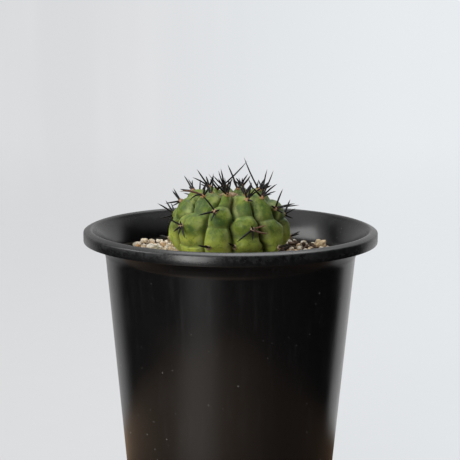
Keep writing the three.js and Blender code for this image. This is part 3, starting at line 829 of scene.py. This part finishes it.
def crest(place):
    """The meridian of the rib crests at a place up the rib: radius, height, and outward normal."""
    power = 2 / STEM_FULLNESS
    c = max(math.cos(place * DEG), 0)
    s = abs(math.sin(place * DEG))
    up = 1 if place > 0 else -1
    height = STEM_RISE if place > 0 else STEM_SINK
    r = STEM_RADIUS * c**power
    dip = CROWN_DIP * math.exp(-((r / CROWN_DIP_RADIUS) ** 2)) if place > 0 else 0
    z = up * height * s**power - dip
    slope_r = c ** (2 - power) / STEM_RADIUS
    slope_z = up * s ** (2 - power) / height
    size = math.hypot(slope_r, slope_z)
    return r, z, slope_r / size, slope_z / size


def wander(shifts, place):
    """The shift at a place, running smoothly from one listed place to the next."""
    if place < shifts[0][0]:
        return shifts[0][1]
    for (low, before), (high, after) in zip(shifts, shifts[1:]):
        if low <= place < high:
            return mix(before, after, (1 - math.cos(math.pi * (place - low) / (high - low))) / 2)
    return shifts[-1][1]


def even_middle(rib, place):
    return RIB_TURN + (rib - 3) * 360 / RIB_COUNT + RIB_TWIST * place / 90


def rib_middle(rib, place):
    return even_middle(rib, place) + wander(RIB_SHIFTS.get(rib % RIB_COUNT, [(0, 0)]), place)


def tubercle(rib, place):
    """Where a place lies in its tubercle: 0 at the pleat below it and 1 at the pleat above."""
    marks = [mark for mark, _ in RIB_AREOLES[rib % RIB_COUNT]]
    lower = marks[1] if len(marks) > 1 else marks[0] + 40
    marks = [2 * marks[0] - lower, *marks, 100]
    for below, here, above in zip(marks, marks[1:], marks[2:]):
        low = (below + here) / 2
        high = (here + above) / 2
        if low <= place <= high:
            return (place - low) / (high - low)
    return None


def swelling(rib, place):
    """1 at the shoulder of each tubercle and 0 in the pleats between them."""
    f = tubercle(rib, place)
    return 0.4 if f is None else math.sin(math.pi * f**1.6) ** 0.75


def groove_azimuth(rib, place):
    """The groove between a rib and the next."""
    middle = (even_middle(rib, place) + even_middle(rib + 1, place)) / 2
    shifts = GROOVE_SHIFTS.get(rib % RIB_COUNT)
    if shifts:
        return middle + wander(shifts, place)
    return middle + GROOVE_SWAY * (swelling(rib, place) - swelling(rib + 1, place))


def keel(rib, place, azimuth):
    """How far the keels round a rib's areoles stand out at a place."""
    height = 0
    for mark, offset in RIB_AREOLES[rib % RIB_COUNT]:
        away = (place - mark) / (15 if place < mark else 9)
        side = abs(azimuth - rib_middle(rib, mark) - offset) / 15
        height += NOSE * math.exp(-away * away) * max(0, 1 - side)
    return height


def across_at(rib, place, offset):
    """Where an offset in degrees from the rib's middle lies between its two grooves."""
    edge = groove_azimuth(rib - 1, place) if offset < 0 else groove_azimuth(rib, place)
    return max(-0.85, min(0.85, offset / abs(edge - rib_middle(rib, place))))


def skin_point(rib, place, across):
    """A point of the skin: place up the rib, and across from -1 to 1 between the rib's two grooves."""
    r, z, normal_r, normal_z = crest(place)
    middle = rib_middle(rib, place)
    edge = groove_azimuth(rib - 1, place) if across < 0 else groove_azimuth(rib, place)
    a = abs(across)
    azimuth = mix(middle, edge, a)
    depth = GROOVE_DEPTH * (r / STEM_RADIUS) ** 0.75
    swell = swelling(rib, place)
    hollow = depth * (1 - (1 - a ** mix(1.8, 2.7, swell)) ** 0.6)
    chin = (CHIN * (swell - 0.6) * (1 - a * a) + keel(rib, place, azimuth)) * min(1, r / 10)
    lift = chin - hollow
    point = at_azimuth(azimuth, max(r + normal_r * lift, 0), STEM_Z + z + normal_z * lift)
    point.x += STEM_SHIFT
    return point


def root_point(azimuth, place):
    """A point of the root, which carries on from the stem's base down to its tip."""
    f = (ROOT_START - place) / (90 + ROOT_START)
    base = skin_point(0, ROOT_START, 0)
    base_radius = math.hypot(base.x - STEM_SHIFT, base.y)
    narrow = min(f / 0.25, 1)
    if f < 0.25:
        radius = mix(base_radius, ROOT_RADIUS, math.sin(narrow * math.pi / 2))
        z = mix(base.z, STEM_Z - STEM_SINK - 1, narrow**1.5)
    else:
        down = (f - 0.25) / 0.75
        radius = mix(ROOT_RADIUS, ROOT_TIP_RADIUS, down**0.9) * (1 if f < 1 else 0)
        z = mix(STEM_Z - STEM_SINK - 1, STEM_Z - STEM_SINK - ROOT_LENGTH, down)
    point = at_azimuth(azimuth, radius, z)
    point.x += STEM_SHIFT
    return point


def make_stem():
    segments = RIB_COUNT * STEPS_PER_RIB
    start_primitive(bpy.ops.mesh.primitive_uv_sphere_add, segments=segments, ring_count=STEM_ROWS)
    stem = new_piece("cactus_stem")
    across_values = []
    swell_values = []
    for vertex in stem.data.vertices:
        place = math.degrees(math.asin(max(-1, min(1, vertex.co.z))))
        turn = math.degrees(math.atan2(vertex.co.y, vertex.co.x)) % 360
        step = round(turn * segments / 360) % segments
        rib = step // STEPS_PER_RIB
        across = 2 * (step % STEPS_PER_RIB) / STEPS_PER_RIB - 1
        if place > ROOT_START:
            point = skin_point(rib, place, across)
        else:
            point = root_point(rib_middle(rib, ROOT_START) + across * 180 / RIB_COUNT, place)
        rough = 0
        for scale, height in ((0.16, 0.5), (0.45, 0.22), (1.3, 0.07)):
            rough += noise.noise(point * scale) * height
        out = (point - Vector((STEM_SHIFT, 0, STEM_Z - 4))).normalized()
        vertex.co = point + out * rough
        across_values.append(abs(across))
        swell_values.append(swelling(rib, place))
    mark(stem.data, "across", across_values)
    mark(stem.data, "swell", swell_values)
    edit(stem)
    close_up(0.0001)
    to_metres(stem)
    finish(stem, 180, GREEN_SKIN, "green_skin", "stem")


# Areoles and spines


def areole_frame(rib, place, offset):
    """An areole's spot on the skin and its directions: out, up towards the crown, and right."""
    across = across_at(rib, place, offset)
    spot = skin_point(rib, place, across)
    up = (skin_point(rib, place + 3, across) - skin_point(rib, place - 3, across)).normalized()
    along = skin_point(rib, place, min(across + 0.2, 1)) - skin_point(rib, place, max(across - 0.2, -1))
    out = along.cross(up).normalized()
    return spot, out, up, up.cross(out).normalized()


def spine_direction(areole, clock, lift):
    _, out, up, right = areole
    flat = up * math.cos(clock * DEG) + right * math.sin(clock * DEG)
    return flat * math.cos(lift * DEG) + out * math.sin(lift * DEG)


def spine_distance(one, two):
    """The least distance between two straight spines, each a pair of ends."""
    u = one[1] - one[0]
    v = two[1] - two[0]
    w = one[0] - two[0]
    a, b, c, d, e = u.dot(u), u.dot(v), v.dot(v), u.dot(w), v.dot(w)
    s = min(max((b * e - c * d) / max(a * c - b * b, 1e-9), 0), 1)
    f = min(max((b * s + e) / c, 0), 1)
    s = min(max((b * f - d) / a, 0), 1)
    return (w + u * s - v * f).length


def settle_spine(areole, clock, lift, length, standing):
    """Turns a spine, a little more each time, until it passes clear of the spines that stand already."""
    for step in range(60):
        swing = math.ceil((step % 15) / 2) * 8 * (1 if step % 2 else -1)
        rise = step // 15 * 9
        direction = spine_direction(areole, clock + swing, min(lift + rise, 85))
        spine = (areole[0], areole[0] + direction * length)
        if all(spine_distance(spine, other) > SPINE_GAP for other in standing):
            break
    return spine


def park_miller(seed):
    """The plant's own repeatable sequence of numbers from 0 to 1."""
    state = seed
    while True:
        state = state * 16807 % 2147483647
        yield state / 2147483647


def areole_plan():
    """Every spine cluster from rib 1 round to the crown: CAD node, frame, spines, and how young it is."""
    plan = []
    for rib, areoles in enumerate(RIB_AREOLES):
        for i, (place, offset) in enumerate(areoles):
            spines = LOW_SPINES if place < -5 else HIGH_SPINES if place > 45 else USUAL_SPINES
            spines = OWN_SPINES.get(f"{rib + 1}_{i + 1}", spines)
            areole = areole_frame(rib, place, offset)
            plan.append((f"areole_rib{rib + 1}_{i + 1}", areole, spines, place / 60))
    for i in range(YOUNG_AREOLES):
        rib = math.floor(i * RIB_COUNT / YOUNG_AREOLES + 0.5)
        spines = YOUNG_SPINES[i % len(YOUNG_SPINES)]
        plan.append((f"areole_crown_{i + 1}", areole_frame(rib, YOUNG_HEIGHT, 0), spines, 1.4))
    return plan


def unit_cone(name, sides, tip):
    """A cone of unit length and foot radius, standing on the origin."""
    cone = {"vertices": sides, "radius1": 1, "radius2": tip, "depth": 1}
    start_primitive(bpy.ops.mesh.primitive_cone_add, location=(0, 0, 0.5), **cone)
    return new_piece(name)


def model_spine():
    """One straight spine of unit length and unit girth, with a swollen foot and a fine point."""
    spine = unit_cone("spine_shape", 7, 0.07)
    edit(spine)
    for height, girth in ((0.05, 1.25), (0.11, 1.0), (0.3, 1.15), (0.55, 1.35), (0.8, 1.5)):
        cut_ring(height)
        select_vertices(spine, lambda co, h=height: abs(co.z - h) < 0.001)
        bpy.ops.transform.resize(value=(girth, girth, 1))
    stop_editing()
    return shape_of(spine)


def model_pad():
    """A rounded pad of unit size, a little flattened, with an uneven felted surface."""
    start_primitive(bpy.ops.mesh.primitive_ico_sphere_add, subdivisions=3, radius=1)
    pad = new_piece("pad_shape")
    for vertex in pad.data.vertices:
        vertex.co *= 1 + 0.16 * noise.noise(vertex.co * 2.6) + 0.08 * noise.noise(vertex.co * 6)
    return shape_of(pad)


def model_hair():
    """One fine hair of unit length."""
    return shape_of(unit_cone("hair_shape", 3, 0.1))


def lay_spine(cluster, shape, spine, girth, bend, tone):
    """Adds a spine from its foot to its tip, bowed along the way that bend points."""
    foot, tip = spine
    axis = tip - foot
    length = axis.length
    turn = axis.to_track_quat("Z", "Y").to_matrix()

    def moved(point):
        straight = foot + turn @ stretch(point, girth, girth, length)
        return straight + bend * (length * max(point.z - point.z**2, 0))

    cluster.add(shape, moved, part=lambda point: max(point.z, 0), tone=tone)


def add_pad(cluster, shape, areole, radius, thickness, tone):
    spot, out, up, right = areole
    turn = Matrix((right, up, out)).transposed()
    placed = lambda point: spot + turn @ stretch(point, radius, radius, thickness)
    cluster.add(shape, placed, part=-1.0, tone=tone)


def add_hairs(cluster, shape, areole, count, radius, length, tone):
    """Fine hairs that stand out of a pad all round."""
    spot, out, up, right = areole
    for _ in range(count):
        around = chance.uniform(0, 2 * math.pi)
        away = radius * math.sqrt(chance.random())
        lean = away / radius
        flat = right * math.cos(around) + up * math.sin(around)
        foot = spot + flat * away * 0.8 + out * (0.55 * (1 - lean))
        way = (flat * (lean + chance.uniform(-0.3, 0.5)) + out * (1.2 - lean * 0.6)).normalized()
        turn = way.to_track_quat("Z", "Y").to_matrix()
        reach = length * chance.uniform(0.6, 1.2)
        placed = lambda point: foot + turn @ stretch(point, HAIR_RADIUS, HAIR_RADIUS, reach)
        cluster.add(shape, placed, part=-1.0, tone=tone)


def make_areoles():
    spine_shape = model_spine()
    pad_shape = model_pad()
    hair_shape = model_hair()
    numbers = park_miller(SPINE_SEED)
    standing = []
    for name, areole, spines, youth in areole_plan():
        own = []
        for clock, lift, length in spines:
            reach = length * mix(0.92, 1.08, next(numbers))
            own.append(settle_spine(areole, clock + mix(-5, 5, next(numbers)), lift, reach, standing))
        standing += own
        young = "crown" in name
        size = 0.7 if young else 1
        tone = min(max(youth + chance.uniform(-0.15, 0.15), 0), 1)
        cluster = Gathering("part", "tone")
        add_pad(cluster, pad_shape, areole, WOOL_RADIUS * size * 0.62, WOOL_THICKNESS * size * 0.75, tone)
        add_hairs(cluster, hair_shape, areole, PAD_HAIRS, WOOL_RADIUS * size * 0.66, 0.9, tone)
        looks = OWN_LOOKS.get(name, {})
        for i, spine in enumerate(own):
            girth = SPINE_RADIUS * chance.uniform(0.82, 1.12)
            bend = Vector((chance.gauss(0, 0.06), chance.gauss(0, 0.06), chance.gauss(0, 0.06)))
            bow, tone_of_spine = looks.get(i, (0, chance.random() ** 3 * 0.8))
            lay_spine(cluster, spine_shape, spine, girth, bend + Vector((0, 0, bow)), tone_of_spine)
        piece = cluster.piece(name.replace("areole", "spines"))
        finish(piece, 60, SPINE_CLUSTER, "spines", name)


def make_crown_wool():
    """The tuft of matted wool at the growing point."""
    areole = (
        Vector((STEM_SHIFT, 0, STEM_Z + crest(90)[1] + 0.5)),
        Vector((0, 0, 1)),
        Vector((0, 1, 0)),
        Vector((1, 0, 0)),
    )
    tuft = Gathering("part", "tone")
    add_pad(tuft, model_pad(), areole, CROWN_WOOL_RADIUS * 0.9, CROWN_WOOL_THICKNESS * 0.8, 0.5)
    add_hairs(tuft, model_hair(), areole, CROWN_HAIRS, CROWN_WOOL_RADIUS, 1.6, 0.5)
    piece = tuft.piece("wool_tuft")
    finish(piece, 60, WOOL, "crown_wool", "crown_wool")


# Grains


def dressing_height(x, y):
    """Height of the top of the layer of grains."""
    turn = math.atan2(y, x)
    waves = 0.6 * math.sin(2 * turn + 0.6) + 0.4 * math.sin(5 * turn + 2)
    heap = at_azimuth(HEAP_AZIMUTH, HEAP_RADIUS, 0)
    away = math.hypot(x - heap.x, y - heap.y) / HEAP_SPREAD
    slump = 1.6 * min(max((math.hypot(x, y) - 40) / 8, 0), 1)
    return DRESSING_TOP + DRESSING_SWELL * waves + HEAP_HEIGHT * math.exp(-away * away) - slump


def model_grain(seed):
    """A rough broken grain of unit size: a ball with a few flat chips knocked off."""
    dice = random.Random(seed)
    start_primitive(bpy.ops.mesh.primitive_ico_sphere_add, subdivisions=2, radius=1)
    grain = new_piece("grain_shape")
    edit(grain)
    for _ in range(9):
        way = Vector((dice.gauss(0, 1), dice.gauss(0, 1), dice.gauss(0, 1))).normalized()
        select_all()
        chip = way * dice.uniform(0.55, 0.8)
        bpy.ops.mesh.bisect(plane_co=chip, plane_no=way, use_fill=True, clear_outer=True)
    select_all()
    bpy.ops.mesh.quads_convert_to_tris()
    stop_editing()
    for vertex in grain.data.vertices:
        vertex.co *= 1 + 0.3 * noise.noise(vertex.co * 1.9 + Vector((seed * 7, 0, 0)))
    return shape_of(grain)


def spread_grains(count, spacing, keep_clear, lower):
    """Scatters spots over the ring between the stem and the wall, none closer than the spacing."""
    spots = []
    for _ in range(count * 12):
        if len(spots) == count:
            break
        azimuth = chance.uniform(-180, 180)
        inner = STEM_RADIUS - 3
        outer = GRIT_REACH - 1.2
        radius = math.sqrt(mix(inner**2, outer**2, chance.random()))
        spot = at_azimuth(azimuth, radius, 0)
        if any((spot - other).length_squared < spacing**2 for other in spots):
            continue
        if any((spot - centre).length < reach for centre, reach in keep_clear):
            continue
        spots.append(spot)
    for spot in spots:
        spot.z = dressing_height(spot.x, spot.y) - lower
    return spots


def grain_move(spot, size, dice):
    turn = Matrix.Rotation(dice.uniform(0, 6.28), 3, "X")
    turn = turn @ Matrix.Rotation(dice.uniform(0, 6.28), 3, "Z")
    sides = dice.uniform(0.85, 1.25), dice.uniform(0.8, 1.05), dice.uniform(0.7, 0.95)
    return lambda point: spot + turn @ stretch(point, *sides) * size


def make_grains():
    """The loose grains: pale pumice and grit all round, and dark crumbs of soil, mostly at the right."""
    shapes = [model_grain(seed) for seed in range(1, 6)]
    loose = [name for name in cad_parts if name.startswith(("stone_", "bark_"))]
    keep_clear = []
    for name in sorted(loose):
        low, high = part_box(name)
        centre = (low + high) / 2 / MM
        reach = (high - low).to_2d().length / MM * 0.36
        keep_clear.append((Vector((centre.x, centre.y, 0)), reach))
    pale = Gathering("tone")
    dark = Gathering("tone")
    for (count, spacing, size, lower), clear in ((LOWER_GRAINS, []), (UPPER_GRAINS, keep_clear)):
        for spot in spread_grains(count, spacing, clear, lower):
            azimuth = math.degrees(math.atan2(spot.x, -spot.y))
            radius = math.hypot(spot.x, spot.y)
            among_crumbs = math.exp(-(((azimuth - CRUMB_AZIMUTH) / CRUMB_SPREAD) ** 2))
            among_crumbs *= 1 - min(max((radius - CRUMB_REACH) / 4, 0), 1)
            is_dark = chance.random() < 0.06 + 0.9 * among_crumbs
            grain_size = size * chance.uniform(0.7, 1.15) * (0.8 if is_dark else 1)
            target = dark if is_dark else pale
            target.add(chance.choice(shapes), grain_move(spot, grain_size, chance), tone=chance.random())
    piece = pale.piece("loose_grains")
    finish(piece, 20, PALE_GRAINS, "pale_grains", "top_dressing")
    piece = dark.piece("soil_crumbs")
    finish(piece, 20, DARK_GRAINS, "soil")


def make_grit_bed():
    """The fine damp grit under the loose grains: a closed ring with an uneven top."""
    bottom = SOIL_TOP + 0.3
    inner = STEM_RADIUS - 5
    rings = 20
    ring = {"vertices": 144, "radius": GRIT_REACH}
    start_primitive(bpy.ops.mesh.primitive_circle_add, location=(0, 0, bottom), **ring)
    bed = new_piece("grit_bed")
    edit(bed)
    bpy.ops.mesh.extrude_region_move(TRANSFORM_OT_translate={"value": (0, 0, DRESSING_TOP - bottom)})
    for i in range(rings):
        now = mix(GRIT_REACH, inner, i / rings)
        later = mix(GRIT_REACH, inner, (i + 1) / rings)
        bpy.ops.mesh.extrude_region_move(TRANSFORM_OT_translate={"value": (0, 0, 0)})
        bpy.ops.transform.resize(value=(later / now, later / now, 1))
    bpy.ops.mesh.extrude_region_move(TRANSFORM_OT_translate={"value": (0, 0, bottom - DRESSING_TOP)})
    select_vertices(bed, lambda co: abs(co.z - bottom) < 0.01)
    bpy.ops.mesh.bridge_edge_loops()
    close_up()
    for vertex in bed.data.vertices:
        if vertex.co.z > bottom + 0.5:
            x, y = vertex.co.x, vertex.co.y
            vertex.co.z = dressing_height(x, y) - 1.6 + 0.6 * noise.noise(Vector((x, y, 0)) * 0.9)
    to_metres(bed)
    finish(bed, 50, SOIL, "soil")


def refined_copy(node_name, name, voxel):
    """A smooth, finer copy of a CAD piece, for shaping."""
    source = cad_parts[node_name]
    piece = bpy.data.objects.new(name, source.data.copy())
    bpy.context.scene.collection.objects.link(piece)
    edit(piece)
    bpy.ops.mesh.remove_doubles(threshold=0.00001)
    stop_editing()
    remesh = piece.modifiers.new("remesh", "REMESH")
    remesh.mode = "VOXEL"
    remesh.voxel_size = voxel
    soften = piece.modifiers.new("soften", "SMOOTH")
    soften.factor = 0.6
    soften.iterations = 2
    apply_modifiers(piece)
    return piece


def roughen(piece, amount, scale):
    """Moves every point in or out by noise, at its own place."""
    moves = [noise.noise(vertex.co * scale) * amount for vertex in piece.data.vertices]
    normals = [vertex.normal.copy() for vertex in piece.data.vertices]
    for vertex, move, normal in zip(piece.data.vertices, moves, normals):
        vertex.co += normal * move
    piece.data.update()


def make_loose_pieces():
    """The named pebbles and bark bits, each refined from its CAD solid."""
    for name in sorted(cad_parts):
        if name.startswith("stone_"):
            piece = refined_copy(name, name.replace("stone", "pebble"), 0.28 * MM)
            roughen(piece, 0.7 * MM, 650)
            roughen(piece, 0.25 * MM, 1900)
            mark(piece.data, "tone", [chance.random()] * len(piece.data.vertices))
            finish(piece, 180, PALE_GRAINS, "pale_grains", name)
        if name.startswith("bark_"):
            piece = refined_copy(name, name.replace("bark", "bark_bit"), 0.2 * MM)
            roughen(piece, 0.3 * MM, 1300)
            finish(piece, 180, BARK, "bark", name)


# Studio

LENS = 118.5
CAMERA_DISTANCE = 619.5 * MM
CAMERA_RISE = 9.55  # degrees above the level
CAMERA_ROLL = 0.25
LOOK_AT = Vector((-0.25, 0, POT_HEIGHT - 1.1)) * MM


def make_camera():
    camera = bpy.data.objects.new("camera", bpy.data.cameras.new("camera"))
    bpy.context.scene.collection.objects.link(camera)
    camera.data.lens = LENS
    camera.data.sensor_width = 36
    camera.data.clip_start = 0.01
    camera.data.clip_end = 20
    away = Vector((0, -math.cos(CAMERA_RISE * DEG), math.sin(CAMERA_RISE * DEG)))
    camera.location = LOOK_AT + away * CAMERA_DISTANCE
    camera.rotation_mode = "QUATERNION"
    camera.rotation_quaternion = (-away).to_track_quat("-Z", "Y") @ Quaternion((0, 0, 1), CAMERA_ROLL * DEG)
    bpy.context.scene.camera = camera


def make_light(name, azimuth, rise, distance, size, power, colour):
    """A soft box: azimuth from the front, and rise above the level, both in degrees."""
    data = bpy.data.lights.new(name, "AREA")
    data.shape = "RECTANGLE"
    data.size, data.size_y = size
    data.energy = power
    data.color = colour
    light = bpy.data.objects.new(name, data)
    bpy.context.scene.collection.objects.link(light)
    target = Vector((0, 0, POT_HEIGHT * MM))
    way = at_azimuth(azimuth, math.cos(rise * DEG), math.sin(rise * DEG))
    light.location = target + way * distance
    light.rotation_mode = "QUATERNION"
    light.rotation_quaternion = (-way).to_track_quat("-Z", "Y")
    light.visible_camera = False
    return light


def azimuth_of(tree, axes):
    return math_node(tree, "ARCTAN2", axes[0], times(tree, axes[1], -1.0))


def emission(tree, colour):
    return node(tree, "Emission", {"Color": colour}).outputs[0]


def mix_shaders(tree, factor, a, b):
    return node(tree, "MixShader", {0: factor, 1: a, 2: b}).outputs[0]


def make_world():
    """A pale grey surround, brighter to the right. Gloss mirrors a dim room with a paler back and window."""
    world = bpy.data.worlds.new("studio")
    bpy.context.scene.world = world
    world.use_nodes = True
    tree = world.node_tree
    way = node(tree, "TexCoord").outputs["Generated"]
    axes = split(tree, way)
    azimuth = azimuth_of(tree, axes)
    left = times(tree, azimuth, -1.0)
    folds = noise_value(tree, stretched(tree, way, (1, 1, 0.1)), 26, 2)
    seen = blend(tree, between(tree, axes[0], -0.14, 0.15), (0.69, 0.7, 0.715), (0.81, 0.84, 0.865))
    seen = blend(tree, between(tree, folds, 0.35, 0.75, 0.0, 0.3), seen, (0.8, 0.81, 0.825))
    lamp = plus(tree, 0.1, between(tree, axes[1], -0.25, 0.6, 0.0, 0.5))
    lamp = plus(tree, lamp, between(tree, axes[2], 0.2, 0.9, 0.0, 0.35))
    pane = times(tree, between(tree, left, 45 * DEG, 90 * DEG), between(tree, left, 122 * DEG, 98 * DEG))
    pane = times(tree, pane, between(tree, axes[2], -0.12, 0.15))
    beam = math_node(tree, "ABSOLUTE", plus(tree, azimuth, 28 * DEG))
    mirror = 0.005
    for glow in (
        between(tree, azimuth, 121 * DEG, 136 * DEG, 0.0, 0.72),
        between(tree, left, 116 * DEG, 142 * DEG, 0.0, 0.5),
        times(tree, pane, 0.8),
        between(tree, axes[2], 0.45, 0.9, 0.0, 0.5),
        between(tree, beam, 26 * DEG, 3 * DEG, 0.0, 0.4),
    ):
        mirror = plus(tree, mirror, glow)
    paths = node(tree, "LightPath").outputs
    unseen = blend(tree, paths["Is Glossy Ray"], lamp, mirror)
    colour = blend(tree, paths["Is Camera Ray"], unseen, seen)
    fill(tree, tree.nodes["Background"], {"Color": colour, "Strength": 1.0})


def make_floor():
    """A plain pale floor that fades into the surround. In the pot's gloss it is a glowing brown table with
    painted light and shadow.
    """
    start_primitive(bpy.ops.mesh.primitive_circle_add, vertices=96, radius=3, fill_type="NGON")
    floor = new_piece("floor")
    material, tree, shader = start_material("floor", {"Roughness": 0.8, "Specular IOR Level": 0.1})
    place = object_place(tree)
    axes = split(tree, place)
    far = length_of(tree, place)
    azimuth = azimuth_of(tree, axes)
    paths = node(tree, "LightPath").outputs
    clear = node(tree, "BsdfTransparent").outputs[0]
    paint = blend(tree, noise_value(tree, place, 60, 4), (0.6, 0.605, 0.61), (0.64, 0.645, 0.65))
    fill(tree, shader, {"Base Color": paint})
    glow = blend(tree, between(tree, axes[0], -0.16, 0.2), (0.7, 0.71, 0.725), (0.83, 0.86, 0.885))
    half_lit = times(tree, paths["Is Camera Ray"], 0.75)
    pale = mix_shaders(tree, half_lit, shader.outputs[0], emission(tree, glow))
    faded = mix_shaders(tree, between(tree, far, 0.35, 1.6), pale, clear)
    # In the pot's gloss the table glows with painted light: brighter on the window side, at the left.
    table_glow = between(tree, azimuth, -10 * DEG, 50 * DEG)
    table_glow = blend(tree, table_glow, (0.4, 0.28, 0.19), (0.13, 0.085, 0.055))
    # Painted pool of window light on the table.
    beam = math_node(tree, "ABSOLUTE", plus(tree, azimuth, 30 * DEG))
    table_glow = blend(tree, between(tree, beam, 30 * DEG, 3 * DEG), table_glow, (0.88, 0.76, 0.66))
    # Painted shadow of the pot on the table, close round its foot.
    table_glow = blend(tree, between(tree, far, 0.14, 0.07), table_glow, (0.1, 0.06, 0.035))
    table_place = node(tree, "VectorMath", {0: place, 1: (0.01, 0.055, 0)}, operation="ADD").outputs[0]
    edge = between(tree, length_of(tree, table_place), 0.175, 0.225)
    table = mix_shaders(tree, edge, emission(tree, table_glow), clear)
    looks = mix_shaders(tree, paths["Is Glossy Ray"], faded, table)
    fill(tree, tree.nodes["Material Output"], {"Surface": looks})
    wear(floor, material)


def make_studio():
    make_camera()
    make_world()
    make_floor()
    make_light("window", -29, 9, 1.1, (0.42, 0.85), 9.5, (1.0, 0.99, 0.97))
    make_light("side_window", -80, 28, 1.3, (0.8, 0.6), 6, (1.0, 0.99, 0.98))
    make_light("sky", 160, 70, 1.2, (1.0, 0.8), 7, (0.97, 0.98, 1.0))
    bpy.context.scene.view_settings.view_transform = "Standard"


make_studio()
make_pot()
make_stem()
make_areoles()
make_crown_wool()
make_grit_bed()
make_grains()
make_loose_pieces()
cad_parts["potting_soil"].material_slots[0].material = SOIL
bpy.context.view_layer.update()
